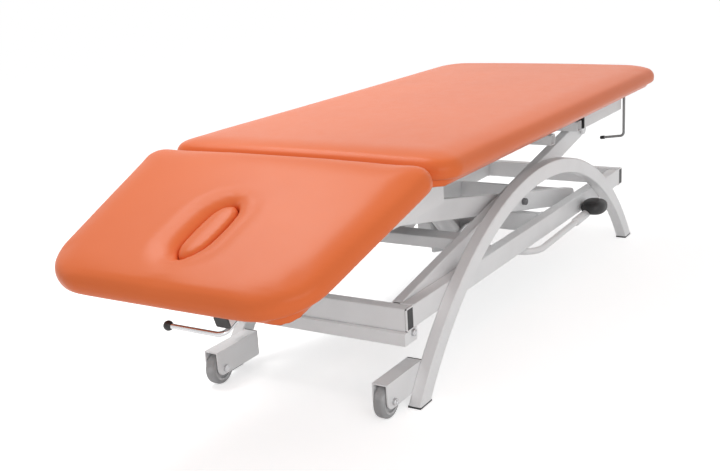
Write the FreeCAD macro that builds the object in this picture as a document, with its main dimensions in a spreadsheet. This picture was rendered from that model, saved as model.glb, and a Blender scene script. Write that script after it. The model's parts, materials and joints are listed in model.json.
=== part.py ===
"""Hydraulic treatment table with two sections: a scissor lift on two arch legs, a long flat main
section, and a head section with a face slot that tilts about a hinge line.

X runs from the head end to the foot end, Y across the table and Z up. The origin lies on the floor
under the middle of the table. Lengths are in millimetres and angles in degrees. Places along X are
measured from the line in which the tops of the two cushions meet.
"""
import FreeCAD, Part
import math
import os

import Sketcher

os.makedirs("parts", exist_ok=True)
doc = FreeCAD.newDocument("TreatmentTable")
Vector = FreeCAD.Vector

# Driving dimensions

SIZES = {
    # Whole table
    "hinge_line": -526.6,
    "run_gap": 0.05,
    "side_gap": 0.5,
    "overrun": 2,
    "edge_round": 3,
    # Base frame of rectangular tube
    "beam_high": 50,
    "beam_wide": 30,
    "beam_wall": 2.5,
    "beam_low": 163,
    "base_half": 235,
    "base_head_end": 71,
    "base_foot_end": 1469.5,
    "mid_beam_place": 870,
    "cap_thick": 4,
    # Arch legs
    "arch_place": 764,
    "arch_drop": 486,
    "arch_outer": 858,
    "arch_deep": 40,
    "leg_wide": 30,
    "leg_wall": 2.5,
    "sole_thick": 4,
    "sole_rim": 1,
    # Channel under the head cross beam
    "channel_head": 60,
    "channel_long": 52,
    "channel_drop": 28,
    "channel_wall": 3,
    "channel_bolt_place": 94,
    "channel_bolt_drop": 7,
    # Transport wheels and their brackets
    "wheel_place": 3,
    "wheel_radius": 37.5,
    "wheel_wide": 25,
    "tread_round": 7,
    "tyre_deep": 9,
    "hub_web": 14,
    "hub_dish_in": 11,
    "hub_dish_out": 24,
    "bracket_head": -22,
    "bracket_foot": 126,
    "bracket_top": 82,
    "bracket_low": 24,
    "bracket_wide": 35.5,
    "bracket_wall": 3,
    "bracket_round": 20,
    "axle_radius": 5,
    "bolt_head_radius": 8,
    "bolt_head_high": 5,
    # Scissor lift
    "lift_place": 128,
    "lift_high": 189,
    "arm_long": 1080,
    "arm_slope": 10.456,
    "arm_deep": 50,
    "arm_thick": 25,
    "arm_wall": 2.5,
    "arm_beam_gap": 2,
    "arm_gap": 5,
    "inner_arm_long": 1082.6,
    "inner_arm_slope": 11.19,
    "boss_radius": 13,
    "pivot_radius": 8,
    "pivot_head_radius": 14,
    "pivot_head_high": 3.5,
    "outer_cross_place": 325,
    "outer_cross_long": 40,
    "outer_cross_high": 30,
    "inner_cross_place": 479,
    "inner_cross_long": 30,
    "inner_cross_high": 50,
    "buffer_place": 175,
    "buffer_radius": 9,
    "buffer_long": 12,
    # Rollers and their tracks
    "roller_radius": 14.5,
    "roller_wide": 18,
    "roller_pin_radius": 6,
    "roller_play": 0.9,
    "pin_slot_play": 3,
    "track_wall": 3,
    "track_end_play": 10,
    "roller_travel": 172,
    "roller_back_travel": 9,
    # Hydraulic ram, pump and pump bracket
    "ram_foot_back": 30,
    "ram_foot_high": 103,
    "ram_top_along": 490.3,
    "ram_top_up": 28.5,
    "ram_radius": 25,
    "ram_bore": 18,
    "ram_base_start": 14,
    "ram_base_thick": 4,
    "ram_reach": 250,
    "gland_thick": 6,
    "rod_radius": 10,
    "piston_play": 8,
    "piston_thick": 6,
    "ram_eye_radius": 14,
    "ram_eye_thick": 22,
    "ram_pin_radius": 6,
    "ram_slot_long": 30,
    "ram_slot_shift": 4.4,
    "ram_slot_slope": 9,
    "ram_lug_thick": 6,
    "ram_lug_radius": 14,
    "pump_plate_gap": 54,
    "pump_plate_thick": 4,
    "pump_nose_reach": 19,
    "pump_plate_top": 190,
    "pump_plate_low": 85,
    "pump_nose_low": 130,
    "pump_nose_top": 170,
    "pump_neck_reach": 61,
    "pump_round": 8,
    "pump_body_back": 20,
    "pump_body_long": 62,
    "pump_body_low": 168,
    "pump_body_high": 42,
    "pump_body_wide": 38,
    # Pedal bar
    "pedal_bar_radius": 8.5,
    "pedal_bar_back": 146,
    "pedal_bar_high": 153,
    "pedal_bar_gap": 14.5,
    "pedal_bar_bend": 50,
    "pedal_bar_reach": 415,
    "pedal_slope": 1.7,
    "collar_radius": 13,
    "collar_long": 10,
    "pedal_long": 84,
    "pedal_wide": 68,
    "pedal_thick": 43,
    "pedal_up": 13,
    "pedal_gap": 2,
    "pedal_back": 12,
    # Bed frame
    "rail_head_end": 1100,
    "rail_foot_end": 1425,
    "rail_out": 245,
    "rail_wide": 38,
    "rail_low": 402,
    "rail_high": 60,
    "bed_wall": 2,
    "bed_tube_head_end": 64.5,
    "bed_tube_wide": 35,
    "bed_tube_high": 35,
    "bed_cross_place": 1075,
    "bed_cross_gap": 199,
    "bed_cross_wide": 30,
    "bed_cross_high": 27,
    "bed_cross_half": 241,
    "bed_end_tube": 25,
    "bed_end_place": 77,
    "bar_wide": 40,
    "bar_half": 280,
    "bar_wall": 1.5,
    "first_bar_place": 184.5,
    "last_bar_place": 1380,
    "rail_lug_thick": 6,
    "rail_lug_radius": 16,
    # Paper roll arms
    "wire_radius": 4,
    "wire_place": 1437,
    "wire_out": 250,
    "wire_top": 452,
    "wire_low": 320,
    "wire_in": 190,
    "wire_tip_high": 312,
    "wire_bend": 12,
    "wire_end": 207,
    "wire_holder_wide": 16,
    "wire_holder_high": 20,
    "tip_radius": 5.5,
    "tip_long": 14,
    # Boards and cushions
    "board_thick": 12,
    "board_recess": 28,
    "board_round": 40,
    "board_low": 477,
    "cushion_thick": 44,
    "cushion_crown": 2.5,
    "cushion_top_round": 21,
    "cushion_low_round": 19,
    "cushion_half": 355,
    "main_head_end": 57,
    "main_foot_end": 1462,
    "main_head_corner": 60,
    "main_foot_corner": 90,
    "head_hinge_end": 12,
    "head_long": 466.5,
    "head_taper": 60.5,
    "head_hinge_corner": 47,
    "head_tip_corner": 124,
    # Face slot and its plug
    "slot_place": 279,
    "slot_long": 172,
    "slot_wide": 80,
    "slot_round": 11,
    "plug_gap": 0.8,
    "plug_seat_gap": 0.3,
    "slot_ledge": 14,
    # Head hinge and head frame
    "hinge_back": 44.5,
    "hinge_rise": 14.5,
    "head_tilt": 20,
    "knuckle_radius": 8,
    "knuckle_wide": 11,
    "knuckle_apart": 190,
    "hinge_lug_wide": 8,
    "hinge_lug_long": 60,
    "lug_board_gap": 0.5,
    "lug_shoulder": 12,
    "hinge_pin_radius": 4,
    "head_tube_wide": 30,
    "head_tube_high": 22,
    "head_tube_in": 109,
    "near_tube_long": 402.4,
    "far_tube_long": 327.4,
    "head_cross_start": 20,
    "head_cross_long": 30,
    "head_cross_half": 205,
    # Quadrant lock of the head section
    "quadrant_radius": 90,
    "quadrant_deep": 24,
    "quadrant_thick": 5,
    "quadrant_start": 5,
    "quadrant_end": 113,
    "quadrant_slot": 9,
    "quadrant_slot_start": 26,
    "quadrant_slot_end": 108,
    "clamp_angle": 77,
    "clamp_radius": 4,
    "clamp_head_radius": 9,
    "clamp_plate_thick": 6,
    "clamp_plate_round": 12,
    # Release lever of the head section
    "lever_radius": 5,
    "lever_gap": 5,
    "lever_drop": 24.1,
    "lever_bend": 16,
    "lever_inward": 121,
    "lever_long": 210,
    "lever_side": 123,
    "knob_radius": 9.5,
    "guide_long": 14,
    "guide_wall": 4,
    "first_guide_back": 45,
    "last_guide_back": 175,
}


class Size:
    """A size of the sheet, or one worked out from such sizes: its value now and its text for a binding."""

    def __init__(self, value, text):
        self.value = value
        self.text = text

    def __add__(self, other):
        other = sized(other)
        return Size(self.value + other.value, "(%s + %s)" % (self.text, other.text))

    def __sub__(self, other):
        other = sized(other)
        return Size(self.value - other.value, "(%s - %s)" % (self.text, other.text))

    def __mul__(self, other):
        other = sized(other)
        return Size(self.value * other.value, "(%s * %s)" % (self.text, other.text))

    def __truediv__(self, other):
        other = sized(other)
        return Size(self.value / other.value, "(%s / %s)" % (self.text, other.text))

    def __rsub__(self, other):
        return sized(other) - self

    def __neg__(self):
        return Size(-self.value, "(0 - %s)" % self.text)

    __radd__ = __add__
    __rmul__ = __mul__


def sized(number):
    """Give a plain number the form of a Size."""
    if isinstance(number, Size):
        return number
    return Size(number, "(%r)" % number if number < 0 else "%r" % number)


def sine(angle):
    return Size(math.sin(math.radians(angle.value)), "sin(%s)" % angle.text)


def cosine(angle):
    return Size(math.cos(math.radians(angle.value)), "cos(%s)" % angle.text)


class SizeTable:
    """The sizes by name, as attributes."""


sheet = doc.addObject("Spreadsheet::Sheet", "Sizes")
size = SizeTable()
for row, (alias, number) in enumerate(SIZES.items(), 1):
    sheet.set("A%d" % row, alias)
    sheet.set("B%d" % row, str(number))
    sheet.setAlias("B%d" % row, alias)
    setattr(size, alias, Size(number, "Sizes." + alias))
doc.recompute()

NEAR, FAR = -1, 1
BAR_COUNT = 4
HALF_TURN = 180
SIDES = (("Near", NEAR), ("Far", FAR))
nodes = []


# Frames and places

X_AXIS, Y_AXIS, Z_AXIS = "1; 0; 0", "0; 1; 0", "0; 0; 1"


def spot(x=0, y=0, z=0, axis=Z_AXIS, angle=0):
    """Give the binding text of a place: a shift and a turn about one axis."""
    shift = "create(<<vector>>; %s; %s; %s)" % (sized(x).text, sized(y).text, sized(z).text)
    turn = "create(<<rotation>>; create(<<vector>>; %s); %s)" % (axis, sized(angle).text)
    return "create(<<placement>>; %s; %s)" % (shift, turn)


def place(thing, frame, *spots):
    """Bind the placement of an object to a frame followed by places in it."""
    thing.setExpression("Placement", " * ".join((frame + ".Placement",) + spots))


def new_frame(name, parent, text):
    """Make a frame, an empty object that has only a placement."""
    frame = doc.addObject("App::GeoFeature", name)
    frame.setExpression("Placement", parent + ".Placement * " + text if parent else text)
    return name


TABLE = new_frame("TableFrame", None, spot(x=size.hinge_line))
mid_beam_face = size.mid_beam_place - size.beam_wide / 2
ram_foot_place = mid_beam_face - size.ram_foot_back
pedal_bar_place = mid_beam_face - size.pedal_bar_back
pump_nose_head = pedal_bar_place - size.pump_nose_reach
pump_neck = pedal_bar_place + size.pump_neck_reach
pump_body_head = pedal_bar_place - size.pump_body_back
hinge_high = size.board_low + size.board_thick / 2 + size.hinge_rise
HEAD = new_frame("HeadFrame", TABLE, spot(size.hinge_back, 0, hinge_high, Y_AXIS, -size.head_tilt))
OUTER_ARMS = new_frame("OuterArmFrame", TABLE, spot(size.lift_place, 0, size.lift_high, Y_AXIS,
                                                    -size.arm_slope))
middle_place = size.lift_place + size.arm_long / 2 * cosine(size.arm_slope)
middle_high = size.lift_high + size.arm_long / 2 * sine(size.arm_slope)
INNER_ARMS = new_frame("InnerArmFrame", TABLE, spot(middle_place, 0, middle_high, Y_AXIS,
                                                    size.inner_arm_slope))
RAM_TOP = new_frame("RamTopFrame", OUTER_ARMS, spot(size.ram_top_along, 0, size.ram_top_up))
ram_top_place = (size.lift_place + size.ram_top_along * cosine(size.arm_slope)
                 - size.ram_top_up * sine(size.arm_slope))
ram_top_high = (size.lift_high + size.ram_top_along * sine(size.arm_slope)
                + size.ram_top_up * cosine(size.arm_slope))
RAM_FOOT = new_frame("RamFootFrame", TABLE, spot(ram_foot_place, 0, size.ram_foot_high))
ram_rise = "(RamTopFrame.Placement.Base.z - RamFootFrame.Placement.Base.z)"
ram_run = "(RamTopFrame.Placement.Base.x - RamFootFrame.Placement.Base.x)"
RAM = new_frame("RamFrame", RAM_FOOT, "create(<<placement>>; create(<<vector>>; 0; 0; 0); create(<<rotation>>; "
                "create(<<vector>>; 0; 1; 0); 0 - atan2(%s; %s) / 1 deg))" % (ram_rise, ram_run))
ROD = new_frame("RodFrame", RAM_TOP, "create(<<placement>>; create(<<vector>>; 0; 0; 0); create(<<rotation>>; "
                "create(<<vector>>; 0; 1; 0); %s - atan2(%s; %s) / 1 deg))"
                % (size.arm_slope.text, ram_rise, ram_run))
PEDALS = new_frame("PedalFrame", TABLE, spot(pedal_bar_place, 0, size.pedal_bar_high, Y_AXIS,
                                             -size.pedal_slope))
doc.recompute()


# Sketches

def new_body(name):
    return doc.addObject("PartDesign::Body", name)


def new_sketch(body, plane, offset=None):
    """Add a sketch on one of the body's own origin planes, or at an offset from it."""
    sketch = body.newObject("Sketcher::SketchObject", body.Name + "Sketch")
    sketch.AttachmentSupport = [(datum, "") for datum in body.Origin.OriginFeatures if datum.Role == plane]
    sketch.MapMode = "FlatFace"
    if offset is not None:
        sketch.setExpression("AttachmentOffset.Base.z", offset.text)
    return sketch


def fix(sketch, kind, *where_and_size):
    """Add a dimension to a sketch and bind it to its size."""
    *where, length = where_and_size
    length = sized(length)
    index = sketch.addConstraint(Sketcher.Constraint(kind, *where, length.value))
    sketch.setExpression("Constraints[%d]" % index, length.text)


def fix_point(sketch, geometry, vertex, x, y):
    """Fix one point of a sketch by its two coordinates."""
    fix(sketch, "DistanceX", -1, 1, geometry, vertex, x)
    fix(sketch, "DistanceY", -1, 1, geometry, vertex, y)


def corner_points(corners, index):
    """Give the two ends of a corner's arc, and its middle, from the corner and its two neighbours."""
    x, y, radius = corners[index]
    here = Vector(x.value, y.value)
    if radius is None:
        return here, here, here
    before = corners[index - 1]
    after = corners[(index + 1) % len(corners)]
    back = (Vector(before[0].value, before[1].value) - here).normalize()
    ahead = (Vector(after[0].value, after[1].value) - here).normalize()
    half_turn = back.getAngle(ahead) / 2
    reach = radius.value / math.tan(half_turn)
    bisector = (back + ahead).normalize()
    middle = here + bisector * (radius.value / math.sin(half_turn) - radius.value)
    return here + back * reach, middle, here + ahead * reach


def outline(sketch, corners, closed=True):
    """Draw a line of straight stretches: each corner is (x, y) or (x, y, radius of its arc)."""
    corners = [(sized(corner[0]), sized(corner[1]), corner[2] if len(corner) > 2 else None)
               for corner in corners]
    ends = [corner_points(corners, index) for index in range(len(corners))]
    count = len(corners) if closed else len(corners) - 1
    lines = []
    for index in range(count):
        start = ends[index][2]
        finish = ends[(index + 1) % len(corners)][0]
        lines.append(sketch.addGeometry(Part.LineSegment(start, finish), False))
    for index, (x, y, radius) in enumerate(corners):
        first_end = not closed and index == 0
        last_end = not closed and index == len(corners) - 1
        before = lines[index - 1]
        if first_end:
            fix_point(sketch, lines[0], 1, x, y)
        elif last_end:
            fix_point(sketch, before, 2, x, y)
        elif radius is None:
            sketch.addConstraint(Sketcher.Constraint("Coincident", before, 2, lines[index], 1))
            fix_point(sketch, lines[index], 1, x, y)
        else:
            arc = sketch.addGeometry(Part.Arc(*ends[index]), False)
            start, finish = sketch.getPoint(arc, 1), sketch.getPoint(arc, 2)
            forward = start.distanceToPoint(ends[index][0]) < finish.distanceToPoint(ends[index][0])
            first, second = (1, 2) if forward else (2, 1)
            sketch.addConstraint(Sketcher.Constraint("Tangent", before, 2, arc, first))
            sketch.addConstraint(Sketcher.Constraint("Tangent", lines[index], 1, arc, second))
            fix(sketch, "Radius", arc, radius)
            corner = sketch.addGeometry(Part.Point(Vector(x.value, y.value)), True)
            sketch.addConstraint(Sketcher.Constraint("PointOnObject", corner, 1, before))
            sketch.addConstraint(Sketcher.Constraint("PointOnObject", corner, 1, lines[index]))
            fix_point(sketch, corner, 1, x, y)


def rectangle(sketch, wide, high, radius=None, x=0, y=0):
    """Draw a rectangle about a centre, with round corners if it has a radius."""
    half_wide, half_high = wide / 2, high / 2
    corners = [(x - half_wide, y - half_high), (x + half_wide, y - half_high),
               (x + half_wide, y + half_high), (x - half_wide, y + half_high)]
    if radius is not None:
        corners = [corner + (radius,) for corner in corners]
    outline(sketch, corners)


def circle(sketch, radius, x=0, y=0):
    x, y = sized(x), sized(y)
    ring = sketch.addGeometry(Part.Circle(Vector(x.value, y.value), Vector(0, 0, 1), radius.value), False)
    fix(sketch, "Radius", ring, radius)
    fix_point(sketch, ring, 3, x, y)


def arc_about(sketch, x, y, radius, start, finish):
    """Add an arc about a fixed centre, anticlockwise from one rough point to another."""
    begin = math.atan2(start[1] - y.value, start[0] - x.value)
    end = math.atan2(finish[1] - y.value, finish[0] - x.value)
    ring = Part.Circle(Vector(x.value, y.value), Vector(0, 0, 1), radius.value)
    arc = sketch.addGeometry(Part.ArcOfCircle(ring, begin, end), False)
    fix(sketch, "Radius", arc, radius)
    fix_point(sketch, arc, 3, x, y)
    return arc


def obround(sketch, long, wide, x=0, y=0):
    """Draw a slot along the sketch's X: two straight sides and two half circles."""
    x, y = sized(x), sized(y)
    reach, half = (long - wide) / 2, wide / 2
    sides = []
    for hand in (1, -1):
        start, finish = (x - hand * reach, y - hand * half), (x + hand * reach, y - hand * half)
        side = sketch.addGeometry(Part.LineSegment(Vector(start[0].value, start[1].value),
                                                   Vector(finish[0].value, finish[1].value)), False)
        fix_point(sketch, side, 1, *start)
        fix_point(sketch, side, 2, *finish)
        sides.append(side)
    for hand, before, after in ((1, sides[0], sides[1]), (-1, sides[1], sides[0])):
        centre = x + hand * reach
        ring = Part.Circle(Vector(centre.value, y.value), Vector(0, 0, 1), half.value)
        begin = -math.pi / 2 if hand == 1 else math.pi / 2
        end = sketch.addGeometry(Part.ArcOfCircle(ring, begin, begin + math.pi), False)
        sketch.addConstraint(Sketcher.Constraint("Coincident", before, 2, end, 1))
        sketch.addConstraint(Sketcher.Constraint("Coincident", after, 1, end, 2))
        fix(sketch, "DistanceX", -1, 1, end, 3, centre)


# Features

def pad(body, sketch, long, symmetric=True):
    feature = body.newObject("PartDesign::Pad", body.Name + "Pad")
    feature.Profile = sketch
    feature.SideType = "Symmetric" if symmetric else "One side"
    feature.setExpression("Length", long.text)
    return feature


def pocket(body, sketch, long):
    """Cut a sketch out of the body, half the length on each side of its plane."""
    feature = body.newObject("PartDesign::Pocket", body.Name + "Pocket")
    feature.Profile = sketch
    feature.SideType = "Symmetric"
    feature.setExpression("Length", long.text)
    return feature


def turn(body, sketch, axis):
    """Turn a profile a full circle about one axis of its sketch."""
    feature = body.newObject("PartDesign::Revolution", body.Name + "Turn")
    feature.Profile = sketch
    feature.ReferenceAxis = (sketch, [axis])
    feature.Angle = 360
    return feature


def round_edges(body, base, radius, wanted):
    """Round those edges of a feature whose middle point passes a test."""
    doc.recompute()
    names = ["Edge%d" % number for number, edge in enumerate(base.Shape.Edges, 1)
             if wanted(edge, edge.valueAt((edge.FirstParameter + edge.LastParameter) / 2))]
    feature = body.newObject("PartDesign::Fillet", body.Name + "Fillet")
    feature.Base = (base, names)
    feature.setExpression("Radius", radius.text)
    return feature


# Kinds of pieces

def node(thing, label):
    """Give a sub-part its name and put it on the list of those written out."""
    thing.Label = label
    nodes.append(thing)
    return thing


def plate(name, thick, corners, holes=()):
    """A flat piece in the XZ plane, cut from sheet: its outline, and holes as (x, z, radius)."""
    body = new_body(name)
    sketch = new_sketch(body, "XZ_Plane")
    outline(sketch, corners)
    for x, z, radius in holes:
        circle(sketch, radius, x, z)
    pad(body, sketch, thick)
    return body


def tube(name, long, wide, high, wall, rounding):
    """A rectangular tube along X about its middle, open at both ends."""
    body = new_body(name)
    sketch = new_sketch(body, "YZ_Plane")
    rectangle(sketch, wide, high, rounding)
    rectangle(sketch, wide - 2 * wall, high - 2 * wall)
    pad(body, sketch, long)
    return body


def block(name, long, wide, high, rounding=None):
    """A solid bar along X about its middle."""
    body = new_body(name)
    sketch = new_sketch(body, "YZ_Plane")
    rectangle(sketch, wide, high, rounding)
    pad(body, sketch, long)
    return body


def turned(name, corners):
    """A round piece about Y: its half profile as (radius, y) corners."""
    body = new_body(name)
    sketch = new_sketch(body, "XY_Plane")
    outline(sketch, corners)
    turn(body, sketch, "V_Axis")
    return body


def headed_pin(name, radius, head_radius, start, finish, head):
    """A pin about Y from start to finish with a flat head beyond its start, chamfered like a bolt's."""
    bevel = head / 4
    return turned(name, [(0, start - head), (head_radius - bevel, start - head),
                         (head_radius, start - head + bevel),
                         (head_radius, start), (radius, start), (radius, finish), (0, finish)])


def group(name, members):
    """Several like pieces kept together in one sub-part."""
    compound = doc.addObject("Part::Compound", name)
    compound.Links = members
    return compound


# Base frame

beam_middle = size.beam_low + size.beam_high / 2
base_inner = size.base_half - size.beam_wide
outer_arm_out = base_inner - size.arm_beam_gap
outer_arm_in = outer_arm_out - size.arm_thick
inner_arm_out = outer_arm_in - size.arm_gap
inner_arm_in = inner_arm_out - size.arm_thick
inner_reach = size.inner_arm_long / 2
roller_foot_place = middle_place + inner_reach * cosine(size.inner_arm_slope)
roller_foot_high = middle_high - inner_reach * sine(size.inner_arm_slope)
roller_top_high = middle_high + inner_reach * sine(size.inner_arm_slope)
roller_top_place = middle_place - inner_reach * cosine(size.inner_arm_slope)
track_long = size.roller_travel + size.roller_back_travel + 2 * size.roller_radius + 2 * size.track_end_play


def make_side_beam(side_name, side):
    """A side beam: a tube with a slot in its inner wall, in which the pin of a lift roller runs."""
    long = size.base_foot_end - size.base_head_end - 2 * size.beam_wide
    middle = (size.base_foot_end + size.base_head_end) / 2
    beam = tube("SideBeam" + side_name, long, size.beam_wide, size.beam_high, size.beam_wall, size.edge_round)
    slot = new_sketch(beam, "XZ_Plane", side * (size.beam_wide / 2))
    slot_high = 2 * (size.roller_pin_radius + size.pin_slot_play)
    slot_middle = roller_foot_place - (size.roller_travel - size.roller_back_travel) / 2
    obround(slot, track_long, slot_high, slot_middle - middle, roller_foot_high - beam_middle)
    pocket(beam, slot, 2 * size.beam_wall + size.overrun)
    place(beam, TABLE, spot(middle, side * (size.base_half - size.beam_wide / 2), beam_middle))
    node(beam, "side_beam_" + side_name.lower())


def make_cross_beam(label, middle, half):
    beam = tube(label.title().replace("_", ""), 2 * half, size.beam_wide, size.beam_high, size.beam_wall,
                size.edge_round)
    place(beam, TABLE, spot(middle, 0, beam_middle, Z_AXIS, 90))
    node(beam, label)


def make_beam_caps():
    """Black plastic caps on the open ends of the head and foot cross beams."""
    caps = []
    for end_name, middle in (("Head", size.base_head_end + size.beam_wide / 2),
                             ("Foot", size.base_foot_end - size.beam_wide / 2)):
        for side_name, side in SIDES:
            cap = block("BeamCap" + end_name + side_name, size.cap_thick, size.beam_wide, size.beam_high,
                        size.edge_round)
            place(cap, TABLE, spot(middle, side * (size.base_half - size.cap_thick / 2), beam_middle,
                                   Z_AXIS, 90))
            caps.append(cap)
    node(group("BeamCaps", caps), "beam_caps")


def arch_half_span(radius, high):
    """Half the width of a circle about the arch's centre at a height above the floor."""
    rise = size.arch_drop + high
    text = "sqrt(pow(%s; 2) - pow(%s; 2))" % (radius.text, rise.text)
    return Size(math.sqrt(radius.value ** 2 - rise.value ** 2), text)


def arch_band(sketch, outer, inner, low):
    """Draw the band between two arcs about the arch's centre, cut level at its feet."""
    centre = -size.arch_drop
    outer_half, inner_half = arch_half_span(outer, low), arch_half_span(inner, low)
    arcs = [arc_about(sketch, sized(0), centre, radius, (half.value, low.value), (-half.value, low.value))
            for radius, half in ((outer, outer_half), (inner, inner_half))]
    for end, sign in ((1, 1), (2, -1)):
        foot = sketch.addGeometry(Part.LineSegment(Vector(sign * outer_half.value, low.value),
                                                   Vector(sign * inner_half.value, low.value)), False)
        sketch.addConstraint(Sketcher.Constraint("Coincident", foot, 1, arcs[0], end))
        sketch.addConstraint(Sketcher.Constraint("Coincident", foot, 2, arcs[1], end))
        sketch.addConstraint(Sketcher.Constraint("Horizontal", foot))
        fix(sketch, "DistanceY", -1, 1, foot, 1, low)


def make_arch_leg(side_name, side):
    """An arch leg: rectangular tube bent to one large arc, with both feet on the floor."""
    leg = new_body("ArchLeg" + side_name)
    band = new_sketch(leg, "XZ_Plane")
    inner = size.arch_outer - size.arch_deep
    arch_band(band, size.arch_outer, inner, size.sole_thick)
    solid = pad(leg, band, size.leg_wide)
    round_edges(leg, solid, size.edge_round, lambda edge, middle: edge.Curve.TypeId == "Part::GeomCircle")
    hollow = new_sketch(leg, "XZ_Plane")
    arch_band(hollow, size.arch_outer - size.leg_wall, inner + size.leg_wall, size.sole_thick - size.overrun)
    pocket(leg, hollow, size.leg_wide - 2 * size.leg_wall)
    place(leg, TABLE, spot(size.arch_place, side * (size.base_half + size.leg_wide / 2), 0))
    node(leg, "arch_leg_" + side_name.lower())


def make_foot_soles():
    """Thin black soles under the four feet."""
    inner = size.arch_outer - size.arch_deep
    outer_half = arch_half_span(size.arch_outer, size.sole_thick)
    inner_half = arch_half_span(inner, size.sole_thick)
    middle = (outer_half + inner_half) / 2
    soles = []
    for end_name, end in (("Head", -1), ("Foot", 1)):
        for side_name, side in SIDES:
            sole_long = outer_half - inner_half + 2 * size.sole_rim
            sole = block("Sole" + end_name + side_name, sole_long, size.leg_wide,
                         size.sole_thick)
            place(sole, TABLE, spot(size.arch_place + end * middle, side * (size.base_half + size.leg_wide / 2),
                                    size.sole_thick / 2))
            soles.append(sole)
    node(group("FootSoles", soles), "foot_soles")


def make_head_channel():
    """A folded channel under the head cross beam, closed by a plate at each end."""
    channel = new_body("HeadChannel")
    section = new_sketch(channel, "YZ_Plane")
    half, wall, drop = size.channel_long / 2, size.channel_wall, size.channel_drop
    outline(section, [(-half, -drop), (-half + wall, -drop), (-half + wall, -wall), (half - wall, -wall),
                      (half - wall, -drop), (half, -drop), (half, 0), (-half, 0)])
    body_long = 2 * (size.base_half - wall)
    pad(channel, section, body_long)
    ends = new_sketch(channel, "YZ_Plane", size.base_half - wall)
    rectangle(ends, size.channel_long, drop, None, 0, -drop / 2)
    pad(channel, ends, wall, symmetric=False)
    far_ends = new_sketch(channel, "YZ_Plane", -size.base_half)
    rectangle(far_ends, size.channel_long, drop, None, 0, -drop / 2)
    pad(channel, far_ends, wall, symmetric=False)
    place(channel, TABLE, spot(size.channel_head + half, 0, size.beam_low, Z_AXIS, 90))
    node(channel, "head_channel")


def make_frame_bolts():
    """Domed bolts in the head channel's end plates, and the axle bolts of the wheels."""
    bolts = []
    for side_name, side in SIDES:
        bolts.append(make_wheel_axle(side_name, side))
        bolt = turned("ChannelBolt" + side_name,
                      [(0, 0), (size.bolt_head_radius, 0),
                       (size.bolt_head_radius, size.bolt_head_high, size.edge_round), (0, size.bolt_head_high)])
        place(bolt, TABLE, spot(size.channel_bolt_place, side * size.base_half,
                                size.beam_low - size.channel_bolt_drop, X_AXIS, 90 - 90 * side))
        bolts.append(bolt)
    node(group("FrameBolts", bolts), "frame_bolts")


# Transport wheels

wheel_side = size.base_half - size.bracket_wide / 2


def make_wheel_bracket(side_name, side):
    """An inverted U of folded sheet over a wheel, rounded about the axle, with its bolt holes."""
    bracket = new_body("WheelBracket" + side_name)
    profile = new_sketch(bracket, "XZ_Plane")
    outline(profile, [(size.bracket_head, size.bracket_low, size.bracket_round),
                      (size.bracket_foot, size.bracket_low),
                      (size.bracket_foot, size.bracket_top), (size.bracket_head, size.bracket_top)])
    pad(bracket, profile, size.bracket_wide)
    inside = new_sketch(bracket, "YZ_Plane", (size.bracket_head + size.bracket_foot) / 2)
    inner_high = size.bracket_top - size.bracket_wall - size.bracket_low + size.overrun
    rectangle(inside, size.bracket_wide - 2 * size.bracket_wall, inner_high, None, 0,
              size.bracket_low - size.overrun + inner_high / 2)
    pocket(bracket, inside, size.bracket_foot - size.bracket_head + size.overrun)
    bore = new_sketch(bracket, "XZ_Plane")
    circle(bore, size.axle_radius + size.run_gap, size.wheel_place, size.wheel_radius)
    pocket(bracket, bore, size.bracket_wide + size.overrun)
    place(bracket, TABLE, spot(0, side * wheel_side, 0))
    node(bracket, "wheel_bracket_" + side_name.lower())


def make_wheel(side_name, side):
    """A wheel of two pieces: a dished hub with a bored boss, and a rubber tyre with round shoulders."""
    half = size.wheel_wide / 2
    rim = size.wheel_radius - size.tyre_deep
    web = size.hub_web / 2
    bore = size.axle_radius + size.run_gap
    hub = turned("WheelHub" + side_name,
                 [(bore, -half), (size.hub_dish_in, -half), (size.hub_dish_in, -web),
                  (size.hub_dish_out, -web), (size.hub_dish_out, -half), (rim, -half), (rim, half),
                  (size.hub_dish_out, half), (size.hub_dish_out, web), (size.hub_dish_in, web),
                  (size.hub_dish_in, half), (bore, half)])
    tyre = turned("WheelTyre" + side_name,
                  [(rim, -half), (size.wheel_radius, -half, size.tread_round),
                   (size.wheel_radius, half, size.tread_round), (rim, half)])
    for piece, label in ((hub, "wheel_hub_"), (tyre, "wheel_tyre_")):
        place(piece, TABLE, spot(size.wheel_place, side * wheel_side, size.wheel_radius))
        node(piece, label + side_name.lower())


def make_wheel_axle(side_name, side):
    """An axle bolt through a bracket, with a domed head outside and a nut inside."""
    reach = size.bracket_wide / 2
    far = reach + size.bolt_head_high
    axle = turned("WheelAxle" + side_name,
                  [(0, -far), (size.bolt_head_radius, -far, size.edge_round), (size.bolt_head_radius, -reach),
                   (size.axle_radius, -reach), (size.axle_radius, reach), (size.bolt_head_radius, reach),
                   (size.bolt_head_radius, far), (0, far)])
    place(axle, TABLE, spot(size.wheel_place, side * wheel_side, size.wheel_radius, X_AXIS, 90 + 90 * side))
    return axle


# Scissor arms

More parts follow.
